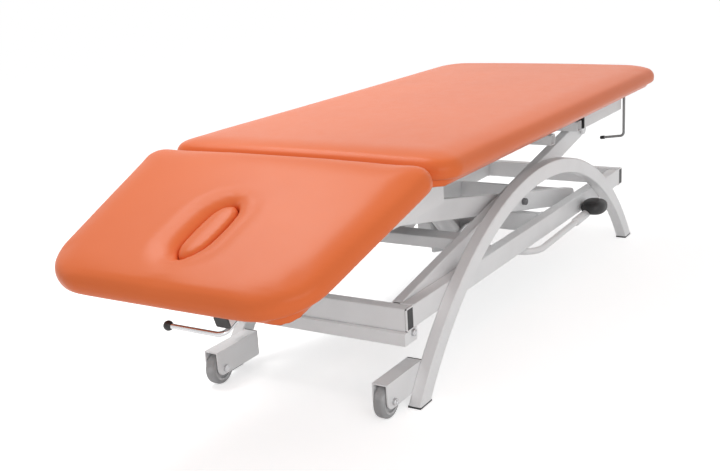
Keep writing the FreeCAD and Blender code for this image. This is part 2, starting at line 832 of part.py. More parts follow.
def make_arm(name, label, long, bores, side, frame, out):
    """A scissor arm: a tube along X with round ends, and bored bosses welded through it.

    The bores lie at the given places along the tube, measured from its frame.
    """
    arm = new_body(name)
    middle = (bores[0] + bores[-1]) / 2
    section = new_sketch(arm, "YZ_Plane", middle)
    rectangle(section, size.arm_thick, size.arm_deep, size.edge_round)
    rectangle(section, size.arm_thick - 2 * size.arm_wall, size.arm_deep - 2 * size.arm_wall)
    pad(arm, section, long + size.arm_deep)
    for radius, feature, wide in ((size.boss_radius, pad, size.arm_thick - size.arm_wall),
                                  (size.pivot_radius + size.run_gap, pocket, size.arm_thick + size.overrun)):
        rounds = new_sketch(arm, "XZ_Plane")
        for bore in bores:
            circle(rounds, radius, bore)
        feature(arm, rounds, wide)
    ends = new_sketch(arm, "XZ_Plane")
    spare = 2 * size.overrun
    rectangle(ends, long + size.arm_deep + spare, size.arm_deep + spare, None, middle)
    obround(ends, long + size.arm_deep, size.arm_deep, middle)
    pocket(arm, ends, size.arm_thick + size.overrun)
    place(arm, frame, spot(0, side * (out - size.arm_thick / 2), 0))
    node(arm, label)


def make_arm_cross(name, frame, along, half, long, high):
    cross = tube(name, 2 * half, long, high, size.arm_wall, size.edge_round)
    place(cross, frame, spot(along, 0, 0, Z_AXIS, 90))
    return cross


def make_outer_arms():
    """The outer pair of arms, hinged low at the head end, with the cross tube that carries the ram's lugs."""
    for side_name, side in SIDES:
        make_arm("OuterArm" + side_name, "outer_arm_" + side_name.lower(), size.arm_long,
                 [sized(0), size.arm_long / 2, size.arm_long], side, OUTER_ARMS, outer_arm_out)
    cross = make_arm_cross("OuterCross", OUTER_ARMS, size.outer_cross_place, outer_arm_in,
                           size.outer_cross_long,
                           size.outer_cross_high)
    node(group("OuterCrossWhole", [cross] + make_ram_lugs()), "outer_arm_cross")


def make_ram_lugs():
    """Two lug plates from the outer arms' cross tube to the ram's eye, each with a slot for its pin."""
    lugs = []
    start = size.outer_cross_place + size.outer_cross_long / 2
    half_high = size.outer_cross_high / 2
    slot_reach = size.ram_slot_long / 2
    tip_middle = size.ram_top_up + (slot_reach - size.ram_slot_shift) * sine(size.ram_slot_slope)
    radius = size.ram_lug_radius
    nose = size.ram_top_along + slot_reach - size.ram_slot_shift + radius
    rounding = radius - size.run_gap
    shoulder = size.ram_top_along - slot_reach - size.ram_slot_shift - radius
    slot_wide = 2 * (size.ram_pin_radius + size.pin_slot_play)
    for side_name, side in SIDES:
        lug = plate("RamLug" + side_name, size.ram_lug_thick,
                    [(start, -half_high), (nose, tip_middle - radius, rounding),
                     (nose, tip_middle + radius, rounding), (shoulder, tip_middle + radius / 2, rounding),
                     (start, half_high)])
        cutter = new_body("RamSlot" + side_name)
        slot = new_sketch(cutter, "XZ_Plane")
        obround(slot, size.ram_slot_long + slot_wide, slot_wide, -size.ram_slot_shift)
        pad(cutter, slot, size.ram_lug_thick + size.overrun)
        cutter.setExpression("Placement", spot(size.ram_top_along, 0, size.ram_top_up,
                                               Y_AXIS, -size.ram_slot_slope))
        cut = doc.addObject("Part::Cut", "RamLugCut" + side_name)
        cut.Base = lug
        cut.Tool = cutter
        lug_middle = (size.ram_eye_thick + size.ram_lug_thick) / 2 + size.side_gap
        place(cut, OUTER_ARMS, spot(0, side * lug_middle, 0))
        lugs.append(cut)
    return lugs


def make_inner_arms():
    """The inner pair of arms, crossing the outer pair at the middle pins, with rollers at both ends."""
    for side_name, side in SIDES:
        make_arm("InnerArm" + side_name, "inner_arm_" + side_name.lower(), size.inner_arm_long,
                 [-inner_reach, sized(0), inner_reach], side, INNER_ARMS, inner_arm_out)
    cross = make_arm_cross("InnerCross", INNER_ARMS, size.inner_cross_place, inner_arm_in,
                           size.inner_cross_long,
                           size.inner_cross_high)
    node(cross, "inner_arm_cross")


def make_arm_pins():
    """Pins carried by the inner arms: the middle pivots and the stub pins of the four rollers."""
    pins = []
    bush = size.pivot_radius
    for side_name, side in SIDES:
        flip = (X_AXIS, 90 - 90 * side)
        start = inner_arm_in - size.side_gap
        reach = outer_arm_out + size.side_gap
        nut = size.pivot_head_high
        middle = turned("MiddlePin" + side_name,
                        [(0, start - nut), (size.pivot_head_radius, start - nut),
                         (size.pivot_head_radius, start),
                         (bush, start), (bush, reach), (size.pivot_head_radius, reach),
                         (size.pivot_head_radius, reach + nut), (0, reach + nut)])
        place(middle, INNER_ARMS, spot(0, 0, 0, *flip))
        pins.append(middle)
        for end_name, end, reach in (("Foot", 1, roller_foot_out), ("Top", -1, roller_top_out)):
            stub = turned("RollerPin" + end_name + side_name,
                          [(0, start - nut), (size.pivot_head_radius, start - nut),
                           (size.pivot_head_radius, start), (bush, start), (bush, inner_arm_out),
                           (size.roller_pin_radius, inner_arm_out), (size.roller_pin_radius, reach), (0, reach)])
            place(stub, INNER_ARMS, spot(end * inner_reach, 0, 0, *flip))
            pins.append(stub)
    node(group("ArmPins", pins), "arm_pins")


def make_stop_buffers():
    """Rubber buffers on the outer faces of the inner arms."""
    buffers = []
    for side_name, side in SIDES:
        buffer = turned("StopBuffer" + side_name,
                        [(0, 0), (size.buffer_radius, 0),
                         (size.buffer_radius, size.buffer_long, size.edge_round),
                         (0, size.buffer_long)])
        place(buffer, INNER_ARMS, spot(size.buffer_place, side * inner_arm_out, 0, X_AXIS, 90 - 90 * side))
        buffers.append(buffer)
    node(group("StopBuffers", buffers), "stop_buffers")


# Rollers and tracks

beam_void_in = base_inner + size.beam_wall
beam_void_out = size.base_half - size.beam_wall
roller_foot_side = (beam_void_in + beam_void_out) / 2
roller_foot_out = roller_foot_side + size.roller_wide / 2 + size.side_gap
roller_top_side = inner_arm_out + size.arm_gap + size.roller_wide / 2
roller_top_out = roller_top_side + size.roller_wide / 2 + size.side_gap


def make_rollers(label, side_place, end):
    """A pair of rollers on the stub pins at one end of the inner arms."""
    half = size.roller_wide / 2
    bore = size.roller_pin_radius + size.run_gap
    rollers = []
    for side_name, side in SIDES:
        roller = turned(label.title().replace("_", "") + side_name,
                        [(bore, -half), (size.roller_radius, -half, size.edge_round / 2),
                         (size.roller_radius, half, size.edge_round / 2), (bore, half)])
        place(roller, INNER_ARMS, spot(end * inner_reach, side * side_place, 0))
        rollers.append(roller)
    node(group(label.title().replace("_", "") + "Pair", rollers), label)


def make_roller_tracks():
    """Folded channels under the bed's long tubes, open inwards, in which the upper rollers run."""
    wall = size.track_wall
    grip = size.roller_radius + size.roller_play
    web_out = roller_top_out + size.side_gap + wall
    reach = web_out - inner_arm_out - size.arm_gap + size.side_gap
    rise = bed_tube_low - roller_top_high
    start = roller_top_place - size.roller_back_travel - size.roller_radius - size.track_end_play
    tracks = []
    for side_name, side in SIDES:
        track = new_body("RollerTrack" + side_name)
        section = new_sketch(track, "YZ_Plane")
        outline(section, [(0, -grip - wall), (0, rise), (-wall, rise), (-wall, grip + wall),
                          (-reach, grip + wall), (-reach, grip), (-wall, grip), (-wall, -grip),
                          (-reach, -grip), (-reach, -grip - wall)])
        pad(track, section, track_long)
        place(track, TABLE, spot(start + track_long / 2, side * web_out, roller_top_high,
                                 Z_AXIS, 90 - 90 * side))
        tracks.append(track)
    node(group("RollerTracks", tracks), "roller_tracks")


def make_base_pins():
    """Studs on the side beams for the outer arms, and the pin at the foot of the ram."""
    pins = []
    start = outer_arm_in - size.side_gap
    for side_name, side in SIDES:
        stud = headed_pin("LiftStud" + side_name, size.pivot_radius, size.pivot_head_radius, start, base_inner,
                          size.pivot_head_high)
        place(stud, TABLE, spot(size.lift_place, 0, size.lift_high, X_AXIS, 90 - 90 * side))
        pins.append(stud)
    reach = size.pump_plate_gap / 2 + size.pump_plate_thick + size.side_gap
    head = size.pivot_head_high
    pin = turned("RamFootPin", [(0, -reach - head), (size.pivot_radius, -reach - head),
                                (size.pivot_radius, -reach),
                                (size.ram_pin_radius, -reach), (size.ram_pin_radius, reach),
                                (size.pivot_radius, reach), (size.pivot_radius, reach + head),
                                (0, reach + head)])
    place(pin, RAM_FOOT, spot())
    pins.append(pin)
    node(group("BasePins", pins), "base_pins")


# Hydraulic ram and pump

ram_base = size.ram_base_start + size.ram_base_thick
ram_long = Size(math.hypot(ram_top_place.value - ram_foot_place.value,
                           ram_top_high.value - size.ram_foot_high.value),
                "hypot(%s; %s)" % ((ram_top_place - ram_foot_place).text,
                                   (ram_top_high - size.ram_foot_high).text))


def make_ram_barrel():
    """The ram's barrel along X from its foot eye: a base, a bored tube and a gland ring."""
    barrel = new_body("RamBarrel")
    profile = new_sketch(barrel, "XY_Plane")
    gland = size.ram_reach - size.gland_thick
    bore = size.rod_radius + size.run_gap
    outline(profile, [(size.ram_base_start, 0), (size.ram_base_start, size.ram_radius, size.edge_round),
                      (size.ram_reach, size.ram_radius, size.edge_round), (size.ram_reach, bore), (gland, bore),
                      (gland, size.ram_bore), (ram_base, size.ram_bore), (ram_base, 0)])
    turn(barrel, profile, "H_Axis")
    eye = new_sketch(barrel, "XZ_Plane")
    circle(eye, size.ram_eye_radius + size.edge_round)
    pad(barrel, eye, size.ram_eye_thick)
    bored = new_sketch(barrel, "XZ_Plane")
    circle(bored, size.ram_pin_radius + size.run_gap)
    pocket(barrel, bored, size.ram_eye_thick + size.overrun)
    place(barrel, RAM, spot())
    node(barrel, "ram_barrel")


def make_ram_rod():
    """The piston rod along X back from its top eye, with the piston at its end."""
    rod = new_body("RamRod")
    profile = new_sketch(rod, "XY_Plane")
    piston = size.ram_bore - size.run_gap
    neck = size.ram_eye_radius / 2
    rod_end = ram_base + size.piston_play - ram_long
    outline(profile, [(rod_end, 0), (-neck, 0), (-neck, size.rod_radius),
                      (rod_end + size.piston_thick, size.rod_radius),
                      (rod_end + size.piston_thick, piston), (rod_end, piston)])
    turn(rod, profile, "H_Axis")
    eye = new_sketch(rod, "XZ_Plane")
    circle(eye, size.ram_eye_radius)
    pad(rod, eye, size.ram_eye_thick)
    bored = new_sketch(rod, "XZ_Plane")
    circle(bored, size.ram_pin_radius + size.run_gap)
    pocket(rod, bored, size.ram_eye_thick + size.overrun)
    place(rod, ROD, spot())
    node(rod, "ram_rod")
    reach = size.ram_eye_thick / 2 + size.ram_lug_thick + 2 * size.side_gap
    head = size.pivot_head_high
    pin = turned("RamTopPin", [(0, -reach - head), (size.pivot_head_radius, -reach - head),
                               (size.pivot_head_radius, -reach), (size.ram_pin_radius, -reach),
                               (size.ram_pin_radius, reach), (size.pivot_head_radius, reach),
                               (size.pivot_head_radius, reach + head), (0, reach + head)])
    place(pin, ROD, spot())
    node(pin, "ram_top_pin")


def make_pump_bracket():
    """A U of plate welded to the middle cross beam: it carries the ram's foot and the pedal bar."""
    foot_end = mid_beam_face
    half = size.pump_plate_gap / 2
    thick = size.pump_plate_thick
    bracket = new_body("PumpBracket")
    profile = new_sketch(bracket, "XZ_Plane")
    outline(profile, [(pump_nose_head, size.pump_nose_low, size.pump_round),
                      (pump_neck, size.pump_nose_low - 2 * size.pump_round, size.pump_round),
                      (pump_neck + 2 * size.pump_round, size.pump_plate_low, size.pump_round),
                      (foot_end, size.pump_plate_low, size.pump_round), (foot_end, size.pump_plate_top),
                      (pump_neck, size.pump_plate_top, size.pump_round),
                      (pump_nose_head, size.pump_nose_top, size.pump_round)])
    pad(bracket, profile, size.pump_plate_gap + 2 * thick)
    inside = new_sketch(bracket, "XY_Plane", (size.pump_plate_low + size.pump_plate_top) / 2)
    long = foot_end - thick - pump_nose_head + size.overrun
    rectangle(inside, long, size.pump_plate_gap, None, foot_end - thick - long / 2)
    pocket(bracket, inside, size.pump_plate_top - size.pump_plate_low + size.overrun)
    bores = new_sketch(bracket, "XZ_Plane")
    circle(bores, size.pedal_bar_radius + size.run_gap, pedal_bar_place, size.pedal_bar_high)
    circle(bores, size.ram_pin_radius + size.run_gap, ram_foot_place, size.ram_foot_high)
    pocket(bracket, bores, 2 * half + 2 * thick + size.overrun)
    place(bracket, TABLE, spot())
    node(bracket, "pump_bracket")


def make_pump_body():
    """The pump's block on the far side of its bracket."""
    pump = block("PumpBody", size.pump_body_long, size.pump_body_wide, size.pump_body_high, size.edge_round)
    side = size.pump_plate_gap / 2 + size.pump_plate_thick + size.pump_body_wide / 2
    place(pump, TABLE, spot(pump_body_head + size.pump_body_long / 2, side,
                            size.pump_body_low + size.pump_body_high / 2))
    node(pump, "pump_body")


# Pedals

pedal_bar_half = size.base_half + size.pedal_bar_gap + size.pedal_bar_radius
pedal_middle = size.base_half + size.pedal_gap + size.pedal_wide / 2


def bent_rod(name, plane, profile_plane, profile_offset, radius, route, first):
    """A round rod along a route in one plane, drawn out from its first point."""
    rod = new_body(name)
    path = new_sketch(rod, plane)
    outline(path, route, closed=False)
    end = new_sketch(rod, profile_plane, profile_offset)
    circle(end, radius, *first)
    doc.recompute()
    sweep = rod.newObject("PartDesign::AdditivePipe", name + "Pipe")
    sweep.Profile = end
    sweep.Spine = (path, ["Edge%d" % (number + 1) for number in range(len(path.Shape.Edges))])
    return rod


def make_pedal_bar():
    """A bar across the table, bent towards the foot end on both sides, with a pedal on each end."""
    half, reach, bend = pedal_bar_half, size.pedal_bar_reach, size.pedal_bar_bend
    bar = bent_rod("PedalBar", "XY_Plane", "YZ_Plane", reach, size.pedal_bar_radius,
                   [(reach, -half), (0, -half, bend), (0, half, bend), (reach, half)], (-half, 0))
    inside = size.pump_plate_gap / 2 + size.pump_plate_thick + size.side_gap
    collars = new_sketch(bar, "XZ_Plane", inside)
    circle(collars, size.collar_radius)
    pad(bar, collars, size.collar_long, symmetric=False)
    others = new_sketch(bar, "XZ_Plane", -inside - size.collar_long)
    circle(others, size.collar_radius)
    pad(bar, others, size.collar_long, symmetric=False)
    place(bar, PEDALS, spot())
    node(bar, "pedal_bar")


def make_pedal(side_name, side):
    """A rounded black foot pedal moulded over an end of the pedal bar."""
    shell = doc.addObject("Part::Ellipsoid", "PedalShell" + side_name)
    shell.setExpression("Radius1", (size.pedal_thick / 2).text)
    shell.setExpression("Radius2", (size.pedal_long / 2).text)
    shell.setExpression("Radius3", (size.pedal_wide / 2).text)
    shell.setExpression("Placement", spot(-size.pedal_back, side * (pedal_middle - pedal_bar_half),
                                           size.pedal_up))
    socket = doc.addObject("Part::Cylinder", "PedalSocket" + side_name)
    socket.setExpression("Radius", (size.pedal_bar_radius + size.run_gap).text)
    socket.setExpression("Height", (size.pedal_long + size.run_gap).text)
    socket.setExpression("Placement", spot(-size.pedal_long, 0, 0, Y_AXIS, 90))
    pedal = doc.addObject("Part::Cut", "Pedal" + side_name)
    pedal.Base = shell
    pedal.Tool = socket
    place(pedal, PEDALS, spot(size.pedal_bar_reach, side * pedal_bar_half, 0))
    node(pedal, "pedal_" + side_name.lower())


# Bed frame

bed_tube_top = size.rail_low + size.rail_high
bed_tube_low = bed_tube_top - size.bed_tube_high
rail_in = size.rail_out - size.rail_wide
bar_high = size.board_low - bed_tube_top


def make_bed_rail(side_name, side):
    long = size.rail_foot_end - size.rail_head_end - size.cap_thick
    rail = tube("BedRail" + side_name, long, size.rail_wide, size.rail_high, size.bed_wall, size.edge_round)
    rail_middle = side * (size.rail_out - size.rail_wide / 2)
    place(rail, TABLE, spot(size.rail_head_end + size.cap_thick + long / 2, rail_middle,
                            size.rail_low + size.rail_high / 2))
    node(rail, "bed_rail_" + side_name.lower())


def make_bed_tube(side_name, side):
    long = size.rail_foot_end - size.bed_tube_head_end
    long_tube = tube("BedTube" + side_name, long, size.bed_tube_wide, size.bed_tube_high, size.bed_wall,
                     size.edge_round)
    place(long_tube, TABLE, spot(size.bed_tube_head_end + long / 2, side * (rail_in - size.bed_tube_wide / 2),
                                 bed_tube_low + size.bed_tube_high / 2))
    node(long_tube, "bed_tube_" + side_name.lower())


def make_bed_cross_tubes():
    """The tubes across the bed: two under the long tubes, one between them at each end."""
    tubes = []
    under = bed_tube_low - size.bed_cross_high / 2
    for name, middle in (("Foot", size.bed_cross_place), ("Head", size.bed_cross_place - size.bed_cross_gap)):
        low = tube("LowCross" + name, 2 * size.bed_cross_half, size.bed_cross_wide, size.bed_cross_high,
                   size.bed_wall, size.edge_round)
        place(low, TABLE, spot(middle, 0, under, Z_AXIS, 90))
        tubes.append(low)
    between = 2 * (rail_in - size.bed_tube_wide)
    for name, middle in (("Head", size.bed_end_place), ("Foot", size.last_bar_place)):
        end = tube("EndCross" + name, between, size.bed_end_tube, size.bed_end_tube, size.bed_wall,
                   size.edge_round)
        place(end, TABLE, spot(middle, 0, bed_tube_top - size.bed_end_tube / 2, Z_AXIS, 90))
        tubes.append(end)
    node(group("BedCrossTubes", tubes + make_board_bars()), "bed_cross_tubes")


def make_board_bars():
    """Flat bars across the bed frame that carry the main board."""
    bars = []
    step = (size.last_bar_place - size.first_bar_place) / (BAR_COUNT - 1)
    for number in range(BAR_COUNT):
        bar = tube("BoardBar%d" % number, 2 * size.bar_half, size.bar_wide, bar_high, size.bar_wall,
                   size.edge_round)
        place(bar, TABLE, spot(size.first_bar_place + number * step, 0, bed_tube_top + bar_high / 2,
                               Z_AXIS, 90))
        bars.append(bar)
    return bars


def make_bed_lugs():
    """Lugs welded to the bed: for the outer arms, for the head hinge and for the paper roll arms."""
    lugs = []
    top_place = size.arm_long * cosine(size.arm_slope) + size.lift_place
    top_high = size.arm_long * sine(size.arm_slope) + size.lift_high
    radius = size.rail_lug_radius
    for side_name, side in SIDES:
        lug = plate("RailLug" + side_name, size.rail_lug_thick,
                    [(-radius, size.rail_low - top_high), (-radius, -radius, radius - size.run_gap),
                     (radius, -radius, radius - size.run_gap), (radius, size.rail_low - top_high)])
        place(lug, TABLE, spot(top_place, side * (rail_in + size.rail_lug_thick / 2), top_high))
        lugs.append(lug)
        lugs += make_hinge_lugs(side_name, side)
        lugs.append(make_wire_holder(side_name, side))
    lugs.append(make_clamp_plate())
    node(group("BedLugs", lugs), "bed_lugs")


def make_hinge_lugs(side_name, side):
    """Two hinge lugs on a long tube, one on each side of a knuckle of the head section."""
    lugs = []
    radius = size.knuckle_radius
    start = size.bed_tube_head_end - size.hinge_back
    low = bed_tube_top - hinge_high
    top = size.board_low - hinge_high
    rounding = radius - size.run_gap
    for number, step in enumerate((-1, 1)):
        lug = plate("HingeLug%s%d" % (side_name, number), size.hinge_lug_wide,
                    [(-radius, -radius, rounding), (start, low), (size.hinge_lug_long, low),
                     (size.hinge_lug_long, top), (start - size.lug_board_gap, top),
                     (start - size.lug_board_gap, top + size.lug_shoulder),
                     (radius, radius, rounding), (-radius, radius, rounding)],
                    [(0, 0, size.hinge_pin_radius + size.run_gap)])
        offset = step * (size.knuckle_wide / 2 + size.side_gap + size.hinge_lug_wide / 2)
        place(lug, TABLE, spot(size.hinge_back, side * size.knuckle_apart + offset, hinge_high))
        lugs.append(lug)
    return lugs


def make_wire_holder(side_name, side):
    """A small bored block on a rail's foot end that holds a paper roll arm."""
    long = size.wire_place - size.rail_foot_end + size.wire_radius + size.bed_wall
    holder = new_body("WireHolder" + side_name)
    profile = new_sketch(holder, "XZ_Plane")
    rectangle(profile, long, size.wire_holder_high, size.edge_round, long / 2, 0)
    circle(profile, size.wire_radius + size.run_gap, size.wire_place - size.rail_foot_end, 0)
    pad(holder, profile, size.wire_holder_wide)
    side_place = size.wire_out - 2 * size.wire_bend - size.wire_holder_wide / 2 + size.edge_round
    place(holder, TABLE, spot(size.rail_foot_end, side * side_place, size.wire_top))
    return holder


def make_bed_pins():
    """Pins carried by the bed: studs for the outer arms, hinge pins and the clamp bolt of the quadrant."""
    pins = []
    top_place = size.arm_long * cosine(size.arm_slope) + size.lift_place
    top_high = size.arm_long * sine(size.arm_slope) + size.lift_high
    start = outer_arm_in - size.side_gap
    shoulder = size.pivot_radius + size.track_wall
    for side_name, side in SIDES:
        stud = turned("BedStud" + side_name,
                      [(0, start - size.pivot_head_high),
                       (size.pivot_head_radius, start - size.pivot_head_high),
                       (size.pivot_head_radius, start), (size.pivot_radius, start),
                       (size.pivot_radius, outer_arm_out + size.side_gap),
                       (shoulder, outer_arm_out + size.side_gap),
                       (shoulder, rail_in), (0, rail_in)])
        place(stud, TABLE, spot(top_place, 0, top_high, X_AXIS, 90 - 90 * side))
        pins.append(stud)
        reach = size.knuckle_wide / 2 + size.side_gap + size.hinge_lug_wide
        head = size.pivot_head_high
        hinge_pin = turned("HingePin" + side_name,
                           [(0, -reach - head), (size.knuckle_radius - size.side_gap, -reach - head),
                            (size.knuckle_radius - size.side_gap, -reach), (size.hinge_pin_radius, -reach),
                            (size.hinge_pin_radius, reach), (0, reach)])
        place(hinge_pin, TABLE, spot(size.hinge_back, side * size.knuckle_apart, hinge_high, X_AXIS,
                                     90 - 90 * side))
        pins.append(hinge_pin)
    pins.append(make_clamp_bolt())
    node(group("BedPins", pins), "bed_pins")


# Quadrant lock

quadrant_side = size.head_tube_in - size.quadrant_thick / 2
clamp_place = -size.quadrant_radius * cosine(size.clamp_angle)
clamp_drop = size.quadrant_radius * sine(size.clamp_angle)
clamp_plate_side = quadrant_side - size.quadrant_thick / 2 - size.side_gap - size.clamp_plate_thick / 2


def make_clamp_plate():
    """A plate down from the bed's end tube, which holds the clamp bolt against the quadrant."""
    end_low = bed_tube_top - size.bed_end_tube - hinge_high
    end_head = size.bed_end_place - size.bed_end_tube / 2 - size.hinge_back
    end_foot = end_head + size.bed_end_tube
    round_off = size.clamp_plate_round
    clamp = plate("ClampPlate", size.clamp_plate_thick,
                  [(clamp_place - round_off, round_off - clamp_drop, round_off / 2),
                   (clamp_place - round_off, -round_off - clamp_drop, round_off / 2),
                   (clamp_place + round_off, -round_off - clamp_drop, round_off / 2),
                   (end_foot, end_low), (end_head, end_low)],
                  [(clamp_place, -clamp_drop, size.clamp_radius + size.run_gap)])
    place(clamp, TABLE, spot(size.hinge_back, -clamp_plate_side, hinge_high))
    return clamp


def make_clamp_bolt():
    """The bolt that clamps the quadrant: head outside the quadrant, nut behind the clamp plate."""
    inner = clamp_plate_side - size.clamp_plate_thick / 2 - size.side_gap
    outer = quadrant_side + size.quadrant_thick / 2 + size.side_gap
    bolt = turned("ClampBolt", [(0, inner - size.pivot_head_high),
                                (size.clamp_head_radius, inner - size.pivot_head_high),
                                (size.clamp_head_radius, inner), (size.clamp_radius, inner),
                                (size.clamp_radius, outer), (size.clamp_head_radius, outer),
                                (size.clamp_head_radius, outer + size.pivot_head_high),
                                (0, outer + size.pivot_head_high)])
    place(bolt, TABLE, spot(size.hinge_back + clamp_place, 0, hinge_high - clamp_drop, X_AXIS, HALF_TURN))
    return bolt


def disc(name, radius, thick, *where):
    """A disc about Y, half its thickness on each side of its place."""
    round_plate = doc.addObject("Part::Cylinder", name)
    round_plate.setExpression("Radius", radius.text)
    round_plate.setExpression("Height", thick.text)
    round_plate.setExpression("Placement", " * ".join(where + (spot(0, thick / 2, 0, X_AXIS, 90),)))
    return round_plate


def arc_plate(name, radius, deep, thick, start, finish):
    """A flat arc about Y, between two angles below the head section's direction."""
    outer = disc(name + "Outer", radius + deep / 2, thick, spot(0, 0, 0, Y_AXIS, HALF_TURN - start))
    outer.setExpression("Angle", (finish - start).text)
    inner = disc(name + "Inner", radius - deep / 2, thick + size.overrun)
    band = doc.addObject("Part::Cut", name + "Band")
    band.Base = outer
    band.Tool = inner
    return band


def make_quadrant():
    """The lock's quadrant: an arc of plate about the hinge line with a long arc slot."""
    radius = size.quadrant_radius
    through = size.quadrant_thick + size.overrun
    band = arc_plate("Quadrant", radius, size.quadrant_deep, size.quadrant_thick, size.quadrant_start,
                     size.quadrant_end)
    slot_band = arc_plate("QuadrantSlot", radius, size.quadrant_slot, through, size.quadrant_slot_start,
                          size.quadrant_slot_end)
    ends = [disc("Slot" + name, size.quadrant_slot / 2, through,
                 spot(-radius * cosine(angle), 0, -radius * sine(angle)))
            for name, angle in (("Start", size.quadrant_slot_start), ("Finish", size.quadrant_slot_end))]
    slot = doc.addObject("Part::MultiFuse", "QuadrantSlotWhole")
    slot.Shapes = [slot_band] + ends
    quadrant = doc.addObject("Part::Cut", "Quadrant")
    quadrant.Base = band
    quadrant.Tool = slot
    place(quadrant, HEAD, spot(0, -quadrant_side, 0))
    node(quadrant, "quadrant")


# Head section

head_tube_middle = -(size.board_thick + size.head_tube_high) / 2
head_tube_low = head_tube_middle - size.head_tube_high / 2
head_tube_start = size.head_cross_start + size.head_cross_long
near_tube_end = head_tube_start + size.near_tube_long


def make_head_tubes():
    """Two tubes under the head board; the near one is longer, because it carries the release lever."""
    caps = []
    for (side_name, side), long in zip(SIDES, (size.near_tube_long, size.far_tube_long)):
        head_tube = tube("HeadTube" + side_name, long, size.head_tube_wide, size.head_tube_high,
                         size.bed_wall,
                         size.edge_round)
        side_place = side * (size.head_tube_in + size.head_tube_wide / 2)
        place(head_tube, HEAD, spot(-head_tube_start - long / 2, side_place, head_tube_middle))
        node(head_tube, "head_tube_" + side_name.lower())
        cap = block("HeadCap" + side_name, size.cap_thick, size.head_tube_wide, size.head_tube_high,
                    size.edge_round)
        place(cap, HEAD, spot(-head_tube_start - long - size.cap_thick / 2, side_place, head_tube_middle))
        caps.append(cap)
    node(group("HeadCaps", caps), "head_caps")


def make_head_cross():
    cross = tube("HeadCross", 2 * size.head_cross_half, size.head_cross_long, size.head_tube_high,
                 size.bed_wall,
                 size.edge_round)
    place(cross, HEAD, spot(-size.head_cross_start - size.head_cross_long / 2, 0, head_tube_middle, Z_AXIS, 90))
    node(cross, "head_cross_tube")


def make_head_lugs():
    """The hinge knuckles on the head's cross tube, and the two guides of the release lever."""
    lugs = []
    radius = size.knuckle_radius
    for side_name, side in SIDES:
        knuckle = plate("Knuckle" + side_name, size.knuckle_wide,
                        [(radius, -radius, radius - size.run_gap), (radius, radius, radius - size.run_gap),
                         (-radius, radius, radius - size.run_gap),
                         (-radius - size.side_gap, -size.board_thick / 2),
                         (-size.head_cross_start, -size.board_thick / 2),
                         (-size.head_cross_start, head_tube_middle),
                         (-radius, head_tube_middle / 2 - radius)],
                        [(0, 0, size.hinge_pin_radius + size.run_gap)])
        place(knuckle, HEAD, spot(0, side * size.knuckle_apart, 0))
        lugs.append(knuckle)
    drop = size.lever_drop - size.head_tube_high / 2
    for name, back in (("First", size.first_guide_back), ("Last", size.last_guide_back)):
        guide = new_body("Guide" + name)
        section = new_sketch(guide, "YZ_Plane")
        wide = 2 * (size.lever_radius + size.guide_wall)
        high = drop + size.lever_radius + size.guide_wall
        rectangle(section, wide, high, None, 0, drop - high / 2)
        circle(section, size.lever_radius + size.run_gap)
        pad(guide, section, size.guide_long)
        place(guide, HEAD, spot(back - near_tube_end, -size.lever_side, head_tube_middle - size.lever_drop))
        lugs.append(guide)
    node(group("HeadLugs", lugs), "head_lugs")


def make_release_lever():
    """A rod along the near head tube, bent across under the head end, with a ball on its end."""
    cross = -near_tube_end - size.cap_thick - size.lever_gap
    start = cross + size.lever_long
    rod = bent_rod("LeverRod", "XY_Plane", "YZ_Plane", start, size.lever_radius,
                   [(start, 0), (cross, 0, size.lever_bend), (cross, size.lever_inward)], (0, 0))
    lever_place = (HEAD, spot(0, -size.lever_side, head_tube_middle - size.lever_drop))
    place(rod, *lever_place)
    node(rod, "release_lever")
    ball = doc.addObject("Part::Sphere", "LeverBall")
    ball.setExpression("Radius", size.knob_radius.text)
    bore = doc.addObject("Part::Cylinder", "LeverBallBore")
    bore.setExpression("Radius", (size.lever_radius + size.run_gap).text)
    bore.setExpression("Height", (2 * size.knob_radius).text)
    bore.setExpression("Placement", spot(0, size.lever_radius - size.knob_radius, 0, X_AXIS, 90))
    knob = doc.addObject("Part::Cut", "LeverKnob")
    knob.Base = ball
    knob.Tool = bore
    place(knob, *lever_place, spot(cross, size.lever_inward + size.knob_radius - size.lever_radius, 0))
    node(knob, "lever_knob")


# Boards and cushions

def make_board(name, corners, hole=None):
    """A flat board in the XY plane with round corners, and a slot if it has one."""
    board = new_body(name)
    shape = new_sketch(board, "XY_Plane")
    outline(shape, corners)
    if hole:
        obround(shape, *hole)
    pad(board, shape, size.board_thick, symmetric=False)
    return board


def make_cushion(name, corners, half, hole=None):
    """A cushion on the XY plane: its outline, a crown across it, and its drawn-in top and lower edges."""
    cushion = new_body(name)
    shape = new_sketch(cushion, "XY_Plane")
    outline(shape, corners)
    if hole:
        obround(shape, *hole)
    pad(cushion, shape, size.cushion_thick, symmetric=False)
    crowned = cut_crown(cushion, half)
    middle = size.cushion_thick.value / 2
    holed = size.slot_wide.value if hole else 0

    def in_slot(point):
        return abs(point.y) < holed and abs(point.x - hole[2].value) < size.slot_long.value if hole else False

    rounded = round_edges(cushion, crowned, size.cushion_top_round,
                          lambda edge, point: point.z > middle and level(edge) and not in_slot(point))
    rounded = round_edges(cushion, rounded, size.cushion_low_round,
                          lambda edge, point: point.z < size.run_gap.value and not in_slot(point))
    if hole:
        round_edges(cushion, rounded, size.slot_round,
                    lambda edge, point: point.z > middle and level(edge) and in_slot(point))
    return cushion


def level(edge):
    """Tell an edge that runs round a cushion from one that stands up in its side."""
    first, last = edge.valueAt(edge.FirstParameter), edge.valueAt(edge.LastParameter)
    return abs(first.z - last.z) < size.cushion_crown.value + size.run_gap.value


